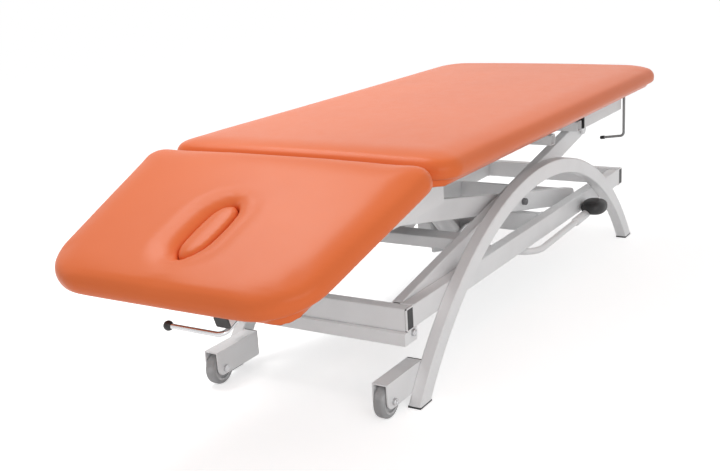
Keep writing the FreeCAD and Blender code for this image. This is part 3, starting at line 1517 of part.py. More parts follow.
def cut_crown(cushion, half):
    """Cut the cushion's flat top down to an arc across it, highest on the middle line."""
    rise, top = size.cushion_crown, size.cushion_thick
    low = top - rise
    reach, above = half + size.overrun, top + size.overrun
    corners = [(-half, low), (-reach, low), (-reach, above), (reach, above), (reach, low), (half, low)]
    crown = new_sketch(cushion, "YZ_Plane")
    lines = [crown.addGeometry(Part.LineSegment(Vector(one[0].value, one[1].value),
                                                Vector(other[0].value, other[1].value)), False)
             for one, other in zip(corners, corners[1:])]
    for line, corner in zip(lines, corners):
        fix_point(crown, line, 1, *corner)
    fix_point(crown, lines[-1], 2, *corners[-1])
    for before, after in zip(lines, lines[1:]):
        crown.addConstraint(Sketcher.Constraint("Coincident", before, 2, after, 1))
    arc = crown.addGeometry(Part.Arc(Vector(half.value, low.value), Vector(0, top.value),
                                     Vector(-half.value, low.value)), False)
    crown.addConstraint(Sketcher.Constraint("Coincident", arc, 1, lines[-1], 2))
    crown.addConstraint(Sketcher.Constraint("Coincident", arc, 2, lines[0], 1))
    radius = (half * half + rise * rise) / (2 * rise)
    fix(crown, "Radius", arc, radius)
    return pocket(cushion, crown, 2 * (size.main_foot_end + size.head_long))


def make_main_section():
    """The main board and its cushion."""
    head, foot, half = size.main_head_end, size.main_foot_end, size.cushion_half
    recess = size.board_recess
    board = make_board("MainBoard", [(size.bed_tube_head_end, recess - half, size.board_round),
                                     (foot - recess, recess - half, size.board_round),
                                     (foot - recess, half - recess, size.board_round),
                                     (size.bed_tube_head_end, half - recess, size.board_round)])
    place(board, TABLE, spot(0, 0, size.board_low))
    node(board, "main_board")
    cushion = make_cushion("MainCushion", [(head, -half, size.main_head_corner),
                                           (foot, -half, size.main_foot_corner),
                                           (foot, half, size.main_foot_corner),
                                           (head, half, size.main_head_corner)],
                           half)
    place(cushion, TABLE, spot(0, 0, size.board_low + size.board_thick))
    node(cushion, "main_cushion")


def make_head_section():
    """The head board and its cushion, both tapered to the head end and open at the face slot."""
    hinge_end = -size.head_hinge_end
    tip = hinge_end - size.head_long
    half, recess = size.cushion_half, size.board_recess
    tip_half = half - size.head_taper
    slot_middle = hinge_end - size.slot_place
    ledge = 2 * size.slot_ledge
    start = -size.head_cross_start
    board = make_board("HeadBoard", [(tip + recess, recess - tip_half, size.board_round),
                                     (start, recess - half, size.board_round),
                                     (start, half - recess, size.board_round),
                                     (tip + recess, tip_half - recess, size.board_round)],
                       (size.slot_long - ledge, size.slot_wide - ledge, slot_middle))
    place(board, HEAD, spot(0, 0, -size.board_thick / 2))
    node(board, "head_board")
    cushion = make_cushion("HeadCushion", [(tip, -tip_half, size.head_tip_corner),
                                           (hinge_end, -half, size.head_hinge_corner),
                                           (hinge_end, half, size.head_hinge_corner),
                                           (tip, tip_half, size.head_tip_corner)],
                           half, (size.slot_long, size.slot_wide, slot_middle))
    place(cushion, HEAD, spot(0, 0, size.board_thick / 2))
    node(cushion, "head_cushion")
    plug = new_body("FacePlug")
    shape = new_sketch(plug, "XY_Plane")
    shrink = 2 * size.plug_gap
    obround(shape, size.slot_long - shrink, size.slot_wide - shrink, slot_middle)
    block_of_foam = pad(plug, shape, size.cushion_thick - size.plug_seat_gap, symmetric=False)
    round_edges(plug, block_of_foam, size.slot_round,
                lambda edge, point: point.z > size.cushion_thick.value / 2 and level(edge))
    place(plug, HEAD, spot(0, 0, size.board_thick / 2 + size.plug_seat_gap))
    node(plug, "face_plug")


# Paper roll arms

def make_roll_arms():
    """Two bent wires at the foot end that hold a paper roll, and the small black parts of the bed."""
    fall, inward = size.wire_low - size.wire_tip_high, size.wire_out - size.wire_in
    slope = Size(math.degrees(math.atan2(fall.value, inward.value)),
                 "(atan2(%s; %s) / 1 deg)" % (fall.text, inward.text))
    wires, blacks = [], []
    for side_name, side in SIDES:
        wire = bent_rod("RollArm" + side_name, "YZ_Plane", "XZ_Plane", size.wire_end, size.wire_radius,
                        [(-size.wire_end, size.wire_top), (-size.wire_out, size.wire_top, size.wire_bend),
                         (-size.wire_out, size.wire_low, size.wire_bend), (-size.wire_in, size.wire_tip_high)],
                        (0, size.wire_top))
        about = (Z_AXIS, 90 + 90 * side)
        place(wire, TABLE, spot(size.wire_place, 0, 0, *about))
        wires.append(wire)
        tip = turned("RollTip" + side_name, [(0, 0), (size.tip_radius, 0),
                                             (size.tip_radius, size.tip_long, size.edge_round),
                                             (0, size.tip_long)])
        place(tip, TABLE, spot(size.wire_place, side * size.wire_in, size.wire_tip_high, *about),
              spot(0, 0, 0, X_AXIS, -slope))
        blacks.append(tip)
        cap = block("RailCap" + side_name, size.cap_thick, size.rail_wide, size.rail_high, size.edge_round)
        place(cap, TABLE, spot(size.rail_head_end + size.cap_thick / 2,
                               side * (size.rail_out - size.rail_wide / 2),
                               size.rail_low + size.rail_high / 2))
        blacks.append(cap)
    node(group("RollArms", wires), "roll_arms")
    node(group("BedCaps", blacks), "bed_caps")


# The whole table

for side_name, side in (("Near", NEAR), ("Far", FAR)):
    make_side_beam(side_name, side)
    make_arch_leg(side_name, side)
    make_wheel_bracket(side_name, side)
    make_wheel(side_name, side)
    make_pedal(side_name, side)
    make_bed_rail(side_name, side)
    make_bed_tube(side_name, side)
make_cross_beam("cross_beam_head", size.base_head_end + size.beam_wide / 2, size.base_half - size.cap_thick)
make_cross_beam("cross_beam_mid", size.mid_beam_place, base_inner)
make_cross_beam("cross_beam_foot", size.base_foot_end - size.beam_wide / 2, size.base_half - size.cap_thick)
make_beam_caps()
make_foot_soles()
make_head_channel()
make_frame_bolts()
make_base_pins()
make_pump_bracket()
make_pump_body()
make_outer_arms()
make_inner_arms()
make_arm_pins()
make_stop_buffers()
make_rollers("rollers_foot", roller_foot_side, 1)
make_rollers("rollers_top", roller_top_side, -1)
make_ram_barrel()
make_ram_rod()
make_pedal_bar()
make_bed_cross_tubes()
make_roller_tracks()
make_bed_lugs()
make_bed_pins()
make_roll_arms()
make_main_section()
make_head_tubes()
make_head_cross()
make_head_lugs()
make_quadrant()
make_release_lever()
make_head_section()
doc.recompute()

failed = [thing.Name for thing in doc.Objects if {"Invalid", "Error"} & set(thing.State)]
failed += [thing.Label for thing in nodes if thing.Shape.isNull() or not thing.Shape.isValid()]
if failed:
    raise RuntimeError("These objects failed: %s" % ", ".join(failed))
for thing in nodes:
    thing.Shape.exportStep("parts/%s.step" % thing.Label)
print("%d sub-parts, %d solids" % (len(nodes), sum(len(thing.Shape.Solids) for thing in nodes)))
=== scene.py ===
"""Hydraulic treatment table with a tilting head section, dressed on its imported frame.

All lengths are in metres in the frame's own axes: X from the head end to the foot end, Y across
the table and Z up from the floor.
"""
import json
import math

import bmesh
import bpy
from bpy.props import FloatProperty, FloatVectorProperty, IntProperty, PointerProperty
from mathutils import Matrix, Quaternion, Vector
from mathutils.geometry import convex_hull_2d


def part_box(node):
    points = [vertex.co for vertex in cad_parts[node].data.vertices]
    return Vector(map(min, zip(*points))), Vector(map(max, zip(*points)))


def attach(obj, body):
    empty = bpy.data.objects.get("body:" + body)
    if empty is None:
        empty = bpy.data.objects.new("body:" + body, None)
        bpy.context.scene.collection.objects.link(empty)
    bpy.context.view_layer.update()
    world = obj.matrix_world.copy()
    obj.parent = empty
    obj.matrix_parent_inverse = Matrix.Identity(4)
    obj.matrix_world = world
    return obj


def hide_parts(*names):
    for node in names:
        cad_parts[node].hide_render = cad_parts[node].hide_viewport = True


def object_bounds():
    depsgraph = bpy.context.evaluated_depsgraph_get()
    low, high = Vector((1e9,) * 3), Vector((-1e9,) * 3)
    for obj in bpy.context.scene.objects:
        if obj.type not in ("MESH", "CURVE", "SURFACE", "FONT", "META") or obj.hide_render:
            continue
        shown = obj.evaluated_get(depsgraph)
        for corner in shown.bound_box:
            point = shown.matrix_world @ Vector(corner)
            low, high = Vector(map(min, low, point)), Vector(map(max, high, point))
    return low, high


bl_info = {
    "name": "Treatment table",
    "version": (1, 0, 0),
    "blender": (4, 5, 0),
    "location": "3D View > Sidebar > Table",
    "description": "Dresses the packed treatment table with covers, finishes and small details",
    "category": "Object",
}

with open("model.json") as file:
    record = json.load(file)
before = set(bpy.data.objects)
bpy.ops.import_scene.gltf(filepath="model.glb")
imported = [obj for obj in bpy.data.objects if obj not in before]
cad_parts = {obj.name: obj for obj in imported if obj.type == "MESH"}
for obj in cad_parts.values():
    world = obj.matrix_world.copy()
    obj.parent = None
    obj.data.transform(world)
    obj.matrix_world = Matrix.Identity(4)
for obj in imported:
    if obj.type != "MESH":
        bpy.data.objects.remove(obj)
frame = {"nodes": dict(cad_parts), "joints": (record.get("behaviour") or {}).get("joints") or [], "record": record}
CAD_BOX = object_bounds()
UP = Vector((0, 0, 1))
SIDES = (("near", -1), ("far", 1))


def joint(name):
    """Give a joint of the frame by its name."""
    return next(entry for entry in frame["joints"] if entry["name"] == name)


# The head section lies in its own axes: along it, across it and square to its board.
HEAD_UP = Vector(joint("plug_lift")["axis"]).normalized()
HEAD_ALONG = Vector((HEAD_UP.z, 0, -HEAD_UP.x))
HEAD_PIVOT = Vector(joint("head_tilt")["pos_m"])
HEAD_INWARD = Matrix((HEAD_ALONG, Vector((0, 1, 0)), HEAD_UP))

# Each section of the bed has a turn from the frame's axes into its own, and a point that it turns about.
MAIN_SECTION = (Matrix.Identity(3), Vector())
HEAD_SECTION = (HEAD_INWARD, HEAD_PIVOT)


def clamped(value, low=0, high=1):
    """Keep a value between two limits."""
    return max(low, min(high, value))


# Settings

def colour_setting(name, description, default):
    """Give a colour that a user can change."""
    return FloatVectorProperty(name=name, description=description, default=default, size=3,
                               subtype="COLOR", min=0, max=1)


def length_setting(name, description, default):
    """Give a length in metres that a user can change."""
    return FloatProperty(name=name, description=description, default=default, unit="LENGTH",
                         subtype="DISTANCE", precision=4)


class TableColours(bpy.types.PropertyGroup):
    """Colours of the table's finishes."""

    cover: colour_setting("Cover", "Artificial leather of the cushions", (0.85, 0.186, 0.055))
    cover_shade: colour_setting("Cover shade", "Darker tone in the artificial leather", (0.82, 0.175, 0.051))
    frame_paint: colour_setting("Frame paint", "Powder coat of the frame", (0.95, 0.95, 0.955))
    trim: colour_setting("Trim", "Black plastic caps, soles and pedals", (0.022, 0.022, 0.023))
    tyre: colour_setting("Tyre", "Grey rubber of the transport wheels", (0.40, 0.40, 0.405))
    buffer: colour_setting("Buffer", "Rubber of the lift's stop buffers", (0.16, 0.16, 0.165))
    hub: colour_setting("Hub", "Grey plastic of the wheel hubs", (0.50, 0.50, 0.505))
    wire: colour_setting("Roll arms", "Grey paint of the paper roll arms", (0.33, 0.335, 0.34))
    zinc: colour_setting("Zinc", "Plated bolts and pins", (0.62, 0.62, 0.63))
    chrome: colour_setting("Chrome", "Plated lever and piston rod", (0.66, 0.66, 0.67))
    roller: colour_setting("Rollers", "Plastic of the lift rollers", (0.62, 0.62, 0.60))
    dust_cloth: colour_setting("Dust cloth", "Cloth under the boards", (0.026, 0.026, 0.028))
    floor: colour_setting("Floor", "Studio floor", (0.90, 0.90, 0.90))


class PadSettings(bpy.types.PropertyGroup):
    """Sizes of the upholstery."""

    voxel: length_setting("Voxel", "Size of the cover's mesh", 0.006)
    inset: length_setting("Inset", "How far the pad starts inside its solid", 0.002)
    swell: length_setting("Swell", "The most that the cover may bulge", 0.004)
    pressure: FloatProperty(name="Pressure", description="Push of the foam on the cover", default=4.0)
    frames: IntProperty(name="Frames", description="Steps of the cloth simulation", default=20)
    ironing: IntProperty(name="Ironing", description="Rounds that even out small creases", default=14)
    crown: length_setting("Crown", "How far the middle of a pad stands above its edges", 0.007)
    crown_reach: length_setting("Crown reach", "How far in from the edge the pad is still rising", 0.085)
    dish_depth: length_setting("Dish depth", "How far the cover sinks at the face slot", 0.012)
    dish_reach: length_setting("Dish reach", "How far the dish reaches from the slot", 0.026)
    dish_lip: length_setting("Dish lip", "How far the padding stands up round the dish", 0.0005)


class StageSettings(bpy.types.PropertyGroup):
    """The studio: its floor, lamps and camera."""

    camera_place: FloatVectorProperty(name="Camera place", description="Where the camera stands",
                                      size=3, default=(-2.2370, -1.2507, 0.9543),
                                      subtype="TRANSLATION", unit="LENGTH")
    camera_aim: FloatVectorProperty(name="Camera aim", description="The direction in which the camera looks",
                                    size=3, default=(0.8155, 0.5111, -0.2714), subtype="DIRECTION")
    camera_roll: FloatProperty(name="Camera roll", description="Turn of the camera about its aim",
                               default=math.radians(-3.41), subtype="ANGLE")
    camera_lens: FloatProperty(name="Lens", description="Focal length on a sensor 36 mm wide", default=53.1)
    floor_size: length_setting("Floor size", "Side of the studio floor", 60.0)
    world_light: FloatProperty(name="World light", description="Strength of the even light", default=0.49)
    key_light: FloatProperty(name="Key light", description="Power of the large lamp", default=34.0)
    side_light: FloatProperty(name="Side light", description="Power of the side lamp", default=16.0)
    floor_glow: FloatProperty(name="Floor glow", description="Light that the floor shows the camera",
                              default=0.56)


# Mesh helpers

def mesh_from(name, build):
    """Make a mesh by a function that fills a bmesh, with smooth faces."""
    grid = bmesh.new()
    build(grid)
    bmesh.ops.recalc_face_normals(grid, faces=grid.faces)
    mesh = bpy.data.meshes.new(name)
    grid.to_mesh(mesh)
    grid.free()
    for face in mesh.polygons:
        face.use_smooth = True
    return mesh


def new_piece(name, body, slot, build):
    """Add a piece that rides on a body and wears its slot's finish, built by a function."""
    piece = bpy.data.objects.new(name, mesh_from(name, build))
    bpy.context.scene.collection.objects.link(piece)
    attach(piece, body)
    dress(piece, slot)
    return piece


def applied_mesh(piece):
    """Give a piece's mesh with its modifiers applied."""
    bpy.context.view_layer.update()
    graph = bpy.context.evaluated_depsgraph_get()
    return bpy.data.meshes.new_from_object(piece.evaluated_get(graph))


# Finishes

# How far a finish's gloss runs to both sides of its roughness.
GLOSSIER = 0.06
DULLER = 0.10


class Finish:
    """A procedural material: a shader with noise in its colour, gloss and relief."""

    def __init__(self, name, colour, roughness, metallic=0.0):
        self.material = bpy.data.materials.new(name)
        self.material.use_nodes = True
        self.tree = self.material.node_tree
        self.shader = self.tree.nodes["Principled BSDF"]
        self.colour = tuple(colour)
        self.set(Base_Color=self.colour + (1,), Roughness=roughness, Metallic=metallic)
        self.place = self.tree.nodes.new("ShaderNodeTexCoord").outputs["Object"]
        self.relief = None

    def stretched(self, x, y, z):
        """Give the surface's place, stretched by a factor along each axis."""
        mapping = self.tree.nodes.new("ShaderNodeMapping")
        mapping.inputs["Scale"].default_value = (x, y, z)
        self.tree.links.new(self.place, mapping.inputs["Vector"])
        return mapping.outputs["Vector"]

    def noise(self, scale, detail, place=None):
        """Give cloudy noise, with detail down to smaller clouds."""
        texture = self.tree.nodes.new("ShaderNodeTexNoise")
        texture.inputs["Scale"].default_value = scale
        texture.inputs["Detail"].default_value = detail
        self.tree.links.new(place or self.place, texture.inputs["Vector"])
        return texture.outputs["Fac"]

    def cells(self, scale):
        """Give a pattern of small cells, each rising from its middle."""
        texture = self.tree.nodes.new("ShaderNodeTexVoronoi")
        texture.inputs["Scale"].default_value = scale
        self.tree.links.new(self.place, texture.inputs["Vector"])
        return texture.outputs["Distance"]

    def shades(self, factor, other, low, high):
        """Blend the colour with another by a factor between two of its values."""
        ramp = self.tree.nodes.new("ShaderNodeValToRGB")
        first, last = ramp.color_ramp.elements
        first.position, first.color = low, self.colour + (1,)
        last.position, last.color = high, tuple(other) + (1,)
        self.tree.links.new(factor, ramp.inputs["Fac"])
        self.tree.links.new(ramp.outputs["Color"], self.shader.inputs["Base Color"])

    def gloss(self, factor, low, high):
        """Let the roughness run between two values."""
        spread = self.tree.nodes.new("ShaderNodeMapRange")
        spread.inputs["To Min"].default_value = low
        spread.inputs["To Max"].default_value = high
        self.tree.links.new(factor, spread.inputs["Value"])
        self.tree.links.new(spread.outputs["Result"], self.shader.inputs["Roughness"])

    def bump(self, height, strength, distance):
        """Add relief on top of the relief so far."""
        relief = self.tree.nodes.new("ShaderNodeBump")
        relief.inputs["Strength"].default_value = strength
        relief.inputs["Distance"].default_value = distance
        self.tree.links.new(height, relief.inputs["Height"])
        if self.relief:
            self.tree.links.new(self.relief, relief.inputs["Normal"])
        self.relief = relief.outputs["Normal"]
        self.tree.links.new(self.relief, self.shader.inputs["Normal"])

    def set(self, **values):
        """Set inputs of the shader, named with underscores for spaces."""
        for name, value in values.items():
            self.shader.inputs[name.replace("_", " ")].default_value = value


def toned(colour, factor, lift=0.0):
    """Give a colour made lighter or darker by a factor, and lifted alike in each channel."""
    return tuple(min(1, channel * factor + lift) for channel in colour)


def cover_finish(colours):
    """Smooth artificial leather: fine grain, slow waves of tone and a soft sheen."""
    finish = Finish("cover_leather", colours.cover, roughness=0.38)
    finish.shades(finish.noise(scale=5, detail=2), colours.cover_shade, low=0.42, high=0.78)
    finish.gloss(finish.noise(scale=38, detail=4), low=0.27, high=0.34)
    finish.bump(finish.cells(scale=1100), strength=0.20, distance=0.0002)
    finish.bump(finish.noise(scale=420, detail=5), strength=0.14, distance=0.0003)
    finish.bump(finish.noise(scale=9, detail=1), strength=0.03, distance=0.003)
    finish.set(Specular_IOR_Level=0.13)
    return finish.material


def paint_finish(name, colour, grain=1.0):
    """Powder coat: an even tone with orange peel and a few duller patches."""
    finish = Finish(name, colour, roughness=0.38)
    finish.shades(finish.noise(scale=11, detail=3), toned(colour, 0.955), low=0.40, high=0.70)
    finish.gloss(finish.noise(scale=60, detail=3), low=0.32, high=0.46)
    finish.bump(finish.noise(scale=520 * grain, detail=2), strength=0.10, distance=0.0003)
    finish.bump(finish.noise(scale=90, detail=2), strength=0.05, distance=0.0006)
    finish.set(Coat_Weight=0.12, Coat_Roughness=0.25)
    return finish.material


def plastic_finish(name, colour, roughness=0.45):
    """Moulded plastic with a fine grain."""
    finish = Finish(name, colour, roughness)
    finish.shades(finish.noise(scale=70, detail=3), toned(colour, 1.5, lift=0.004), low=0.45, high=0.85)
    finish.gloss(finish.noise(scale=160, detail=3), low=roughness - GLOSSIER, high=roughness + DULLER)
    finish.bump(finish.noise(scale=1400, detail=3), strength=0.22, distance=0.0002)
    return finish.material


def rubber_finish(name, colour):
    """Matt rubber, dusty in patches."""
    finish = Finish(name, colour, roughness=0.72)
    finish.shades(finish.noise(scale=45, detail=5), toned(colour, 1.35, lift=0.01), low=0.50, high=0.75)
    finish.gloss(finish.noise(scale=80, detail=3), low=0.62, high=0.82)
    finish.bump(finish.noise(scale=900, detail=4), strength=0.25, distance=0.0003)
    return finish.material


def metal_finish(name, colour, roughness, brushed):
    """Plated steel with fine turning marks, stretched by a factor along each axis."""
    finish = Finish(name, colour, roughness, metallic=1.0)
    marks = finish.noise(scale=300, detail=4, place=finish.stretched(*brushed))
    finish.shades(finish.noise(scale=25, detail=3), toned(colour, 0.86), low=0.40, high=0.75)
    finish.gloss(marks, low=roughness - GLOSSIER, high=roughness + DULLER)
    finish.bump(marks, strength=0.06, distance=0.0002)
    return finish.material


def cloth_finish(colour):
    """Thin black dust cloth, felted from short fibres, stapled under the boards."""
    finish = Finish("dust_cloth", colour, roughness=0.92)
    fibres = finish.noise(scale=700, detail=6, place=finish.stretched(1, 0.35, 1))
    finish.shades(fibres, toned(colour, 2.2), low=0.45, high=0.70)
    finish.bump(fibres, strength=0.45, distance=0.0004)
    finish.bump(finish.noise(scale=14, detail=2), strength=0.15, distance=0.004)
    finish.set(Specular_IOR_Level=0.2)
    return finish.material


def make_finishes():
    """Make each of the table's materials once."""
    colours = bpy.context.scene.table_colours
    return {
        "cover": cover_finish(colours),
        "paint": paint_finish("frame_paint", colours.frame_paint),
        "wire": paint_finish("wire_paint", colours.wire, grain=1.6),
        "trim": plastic_finish("trim_plastic", colours.trim),
        "hub": plastic_finish("hub_plastic", colours.hub, roughness=0.40),
        "roller": plastic_finish("roller_plastic", colours.roller, roughness=0.35),
        "tyre": rubber_finish("tyre_rubber", colours.tyre),
        "buffer": rubber_finish("buffer_rubber", colours.buffer),
        "zinc": metal_finish("zinc_plate", colours.zinc, roughness=0.30, brushed=(1, 8, 1)),
        "chrome": metal_finish("chrome_plate", colours.chrome, roughness=0.24, brushed=(8, 1, 8)),
        "cloth": cloth_finish(colours.dust_cloth),
    }


FINISH_OF_SLOT = {
    "frame_white": "paint",
    "trim_black": "trim",
    "buffer_rubber": "buffer",
    "fixing_steel": "zinc",
    "lever_chrome": "chrome",
    "wire_grey": "wire",
    "wheel_grey": "hub",
    "tyre_grey": "tyre",
    "roller_plastic": "roller",
    "board_wood": "cloth",
    "cover_orange": "cover",
}
finishes = {}


def dress(piece, slot):
    """Give a piece the finish of its slot."""
    piece.data.materials.clear()
    piece.data.materials.append(finishes[FINISH_OF_SLOT[slot]])


class TABLE_OT_finishes(bpy.types.Operator):
    """Make the finishes and give them to the frame's own parts"""

    bl_idname = "table.finishes"
    bl_label = "Finishes"

    def execute(self, context):
        finishes.update(make_finishes())
        slot_of = {entry["node"]: entry["material_slot"] for entry in frame["record"]["subparts"]}
        for name, part in frame["nodes"].items():
            dress(part, slot_of[name])
        return {"FINISHED"}


# Upholstery

# A face of a cushion's solid lies underneath when its normal points down by more than this.
UNDERSIDE_SLOPE = -0.5


def start_pad(name, node, up, inset):
    """Copy a cushion's solid, remesh it evenly and draw it in, by a length that a function gives."""
    settings = bpy.context.scene.table_pads
    pad = bpy.data.objects.new(name, frame["nodes"][node].data.copy())
    bpy.context.scene.collection.objects.link(pad)
    remesh = pad.modifiers.new("Remesh", "REMESH")
    remesh.mode = "VOXEL"
    remesh.voxel_size = settings.voxel
    even = applied_mesh(pad)
    pad.modifiers.clear()
    pad.data = even
    normals = [vertex.normal.copy() for vertex in even.vertices]
    for vertex, normal in zip(even.vertices, normals):
        if normal.dot(up) > UNDERSIDE_SLOPE:
            vertex.co -= inset(vertex.co) * normal
    return pad


def simulate(pad, pinned):
    """Blow the cover up as cloth, hold its pinned points, and cap how far the rest may move."""
    settings = bpy.context.scene.table_pads
    group = pad.vertex_groups.new(name="stapled")
    group.add(pinned, 1.0, "REPLACE")
    cloth = pad.modifiers.new("Cloth", "CLOTH")
    cloth.settings.vertex_group_mass = group.name
    cloth.settings.use_pressure = True
    cloth.settings.uniform_pressure_force = settings.pressure
    cloth.settings.effector_weights.gravity = 0
    cloth.settings.quality = 4
    cloth.settings.tension_stiffness = 25
    cloth.settings.compression_stiffness = 25
    cloth.settings.bending_stiffness = 2
    cloth.collision_settings.use_collision = False
    cloth.point_cache.frame_start = 1
    cloth.point_cache.frame_end = settings.frames
    rest = [vertex.co.copy() for vertex in pad.data.vertices]
    scene = bpy.context.scene
    for number in range(1, settings.frames + 1):
        scene.frame_set(number)
    blown = applied_mesh(pad)
    pad.modifiers.clear()
    pad.vertex_groups.clear()
    shifts = []
    for start, moved in zip(rest, blown.vertices):
        shift = moved.co - start
        if shift.length > settings.swell:
            shift *= settings.swell / shift.length
        shifts.append(shift)
    for vertex, shift in zip(pad.data.vertices, ironed(pad.data, shifts, settings.ironing)):
        vertex.co += shift
    bpy.data.meshes.remove(blown)
    scene.frame_set(1)


def ironed(mesh, shifts, rounds):
    """Even out how far neighbouring points have moved, so that no small creases are left."""
    pairs = [tuple(edge.vertices) for edge in mesh.edges]
    for count in range(rounds):
        sums = [shift.copy() for shift in shifts]
        counts = [1] * len(shifts)
        for first, second in pairs:
            sums[first] += shifts[second]
            sums[second] += shifts[first]
            counts[first] += 1
            counts[second] += 1
        shifts = [total / number for total, number in zip(sums, counts)]
    return shifts


def finish_pad(pad, body, node):
    """Smooth a pad, give it its cover and let it stand for its solid."""
    for face in pad.data.polygons:
        face.use_smooth = True
    even = pad.modifiers.new("Even", "SMOOTH")
    even.factor = 0.5
    even.iterations = 6
    finer = pad.modifiers.new("Finer", "SUBSURF")
    finer.levels = 1
    finer.render_levels = 1
    dress(pad, "cover_orange")
    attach(pad, body)
    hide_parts(node)


def below(pad, up):
    """Give the points of a pad's underside, which is stapled to its board."""
    heights = [vertex.co.dot(up) for vertex in pad.data.vertices]
    limit = min(heights) + bpy.context.scene.table_pads.voxel
    return [vertex.index for vertex, height in zip(pad.data.vertices, heights) if height < limit]


class Outline:
    """The outline and the height of a part of the frame, in the axes of its section of the bed."""

    def __init__(self, node, section):
        self.inward, self.pivot = section
        self.outward = self.inward.transposed()
        points = [self.local(vertex.co) for vertex in frame["nodes"][node].data.vertices]
        hull = convex_hull_2d([point.to_2d() for point in points])
        self.corners = [points[number].to_2d() for number in hull]
        self.low = Vector(min(point[axis] for point in points) for axis in range(3))
        self.high = Vector(max(point[axis] for point in points) for axis in range(3))
        self.half_high = (self.high.z - self.low.z) / 2

    def local(self, point):
        """Turn a place in the frame's axes into the section's own."""
        return self.inward @ (point - self.pivot)

    def place(self, local):
        """Turn a place in the section's own axes into the frame's."""
        return self.pivot + self.outward @ local


class Cushion(Outline):
    """A cushion's solid, which its pad has to fill."""

    SHORTEST_EDGE = 1e-6
    # The crown starts at this share of the half height.
    CROWN_START_SHARE = 0.6

    def from_edge(self, local):
        """Give the distance of a point inwards from the outline."""
        nearest = math.inf
        for start, end in zip(self.corners, self.corners[1:] + self.corners[:1]):
            along = end - start
            if along.length > self.SHORTEST_EDGE:
                nearest = min(nearest, along.normalized().cross(local.to_2d() - start))
        return nearest

    def fill(self, pad):
        """Stretch a pad along and across until it is as long and as wide as the cushion's solid."""
        places = [self.local(vertex.co) for vertex in pad.data.vertices]
        for axis in (0, 1):
            least, most = (pick(place[axis] for place in places) for pick in (min, max))
            stretch = (self.high[axis] - self.low[axis]) / (most - least)
            for place in places:
                place[axis] = self.low[axis] + (place[axis] - least) * stretch
        for vertex, place in zip(pad.data.vertices, places):
            vertex.co = self.place(place)

    def crown(self, pad, even=False):
        """Raise the upper part of a pad in a smooth rise from its edges, or evenly."""
        settings = bpy.context.scene.table_pads
        up = self.outward @ UP
        start = self.low.z + self.half_high * self.CROWN_START_SHARE
        for vertex in pad.data.vertices:
            local = self.local(vertex.co)
            share = clamped((local.z - start) / self.half_high)
            inwards = 1 if even else clamped(self.from_edge(local) / settings.crown_reach)
            vertex.co += up * settings.crown * share * inwards * (2 - inwards)


class TABLE_OT_main_pad(bpy.types.Operator):
    """Upholster the long flat section"""

    bl_idname = "table.main_pad"
    bl_label = "Main cushion"

    def execute(self, context):
        settings = context.scene.table_pads
        pad = start_pad("main_pad", "main_cushion", UP, lambda point: settings.inset)
        simulate(pad, below(pad, UP))
        cushion = Cushion("main_cushion", MAIN_SECTION)
        cushion.fill(pad)
        cushion.crown(pad)
        finish_pad(pad, "bed", "main_cushion")
        return {"FINISHED"}


class FaceSlot(Outline):
    """The face slot, as large as its plug: its middle, half length and half width."""

    # How much of its width the slot loses, in the middle and further at its ends.
    NARROWING_SHARE = 0.12
    END_NARROWING_SHARE = 0.22
    # The dish's depth at the slot's middle, and what it gains on the far side and loses on the near.
    DISH_SHARE = 0.58
    DISH_LEAN_SHARE = 0.42
    # How far out the dish's lip stands, in reaches of the dish, and how sharp it is.
    LIP_REACHES = 2
    LIP_SHARPNESS = 2
    # The share of the dish's depth by which the plug's middle is lowered.
    PLUG_MIDDLE_SHARE = 0.12

    def __init__(self):
        super().__init__("face_plug", HEAD_SECTION)
        self.along = (self.low.x + self.high.x) / 2
        self.half_long = (self.high.x - self.low.x) / 2
        self.half_wide = (self.high.y - self.low.y) / 2

    def distance(self, local):
        """Give the distance of a point outwards from the slot's rim."""
        reach = self.half_long - self.half_wide
        along = max(abs(local.x - self.along) - reach, 0)
        return math.hypot(along, local.y) - self.half_wide

    def slimming(self, local):
        """Give the factor that draws the slot's straight sides in to a leaf shape."""
        share = min(abs(local.x - self.along) / self.half_long, 1)
        return 1 - self.NARROWING_SHARE - self.END_NARROWING_SHARE * share * share

    def depth(self, local):
        """Give how deep the rim of the dish lies: deep on the far side, shallow on the near side."""
        lean = self.DISH_LEAN_SHARE * clamped(local.y / self.half_wide, low=-1)
        return bpy.context.scene.table_pads.dish_depth * (self.DISH_SHARE + lean)

    def upper(self, local):
        """Give a share of 0 in the lower half of the slot that grows to 1 at the top."""
        return clamped((local.z - self.low.z - self.half_high) / self.half_high)

    def dish(self, vertex):
        """Draw a point of the head's cover down and in towards the slot, inside a low lip."""
        settings = bpy.context.scene.table_pads
        local = self.local(vertex.co)
        away = max(self.distance(local), 0) / settings.dish_reach
        near = math.exp(-away * away)
        lip = settings.dish_lip * math.exp(-self.LIP_SHARPNESS * (away - self.LIP_REACHES) ** 2)
        drop = self.depth(local) * near - lip
        vertex.co.y += local.y * (self.slimming(local) - 1) * near
        vertex.co -= HEAD_UP * drop * self.upper(local)

    def plug(self, vertex):
        """Lower a point of the plug's cover to the dish's rim, less so in the middle."""
        local = self.local(vertex.co)
        rim = clamped(1 + self.distance(local) / self.half_wide)
        drop = self.depth(local) * (self.PLUG_MIDDLE_SHARE + (1 - self.PLUG_MIDDLE_SHARE) * rim * rim)
        vertex.co.y += local.y * (self.slimming(local) - 1)
        vertex.co -= HEAD_UP * drop * self.upper(local)


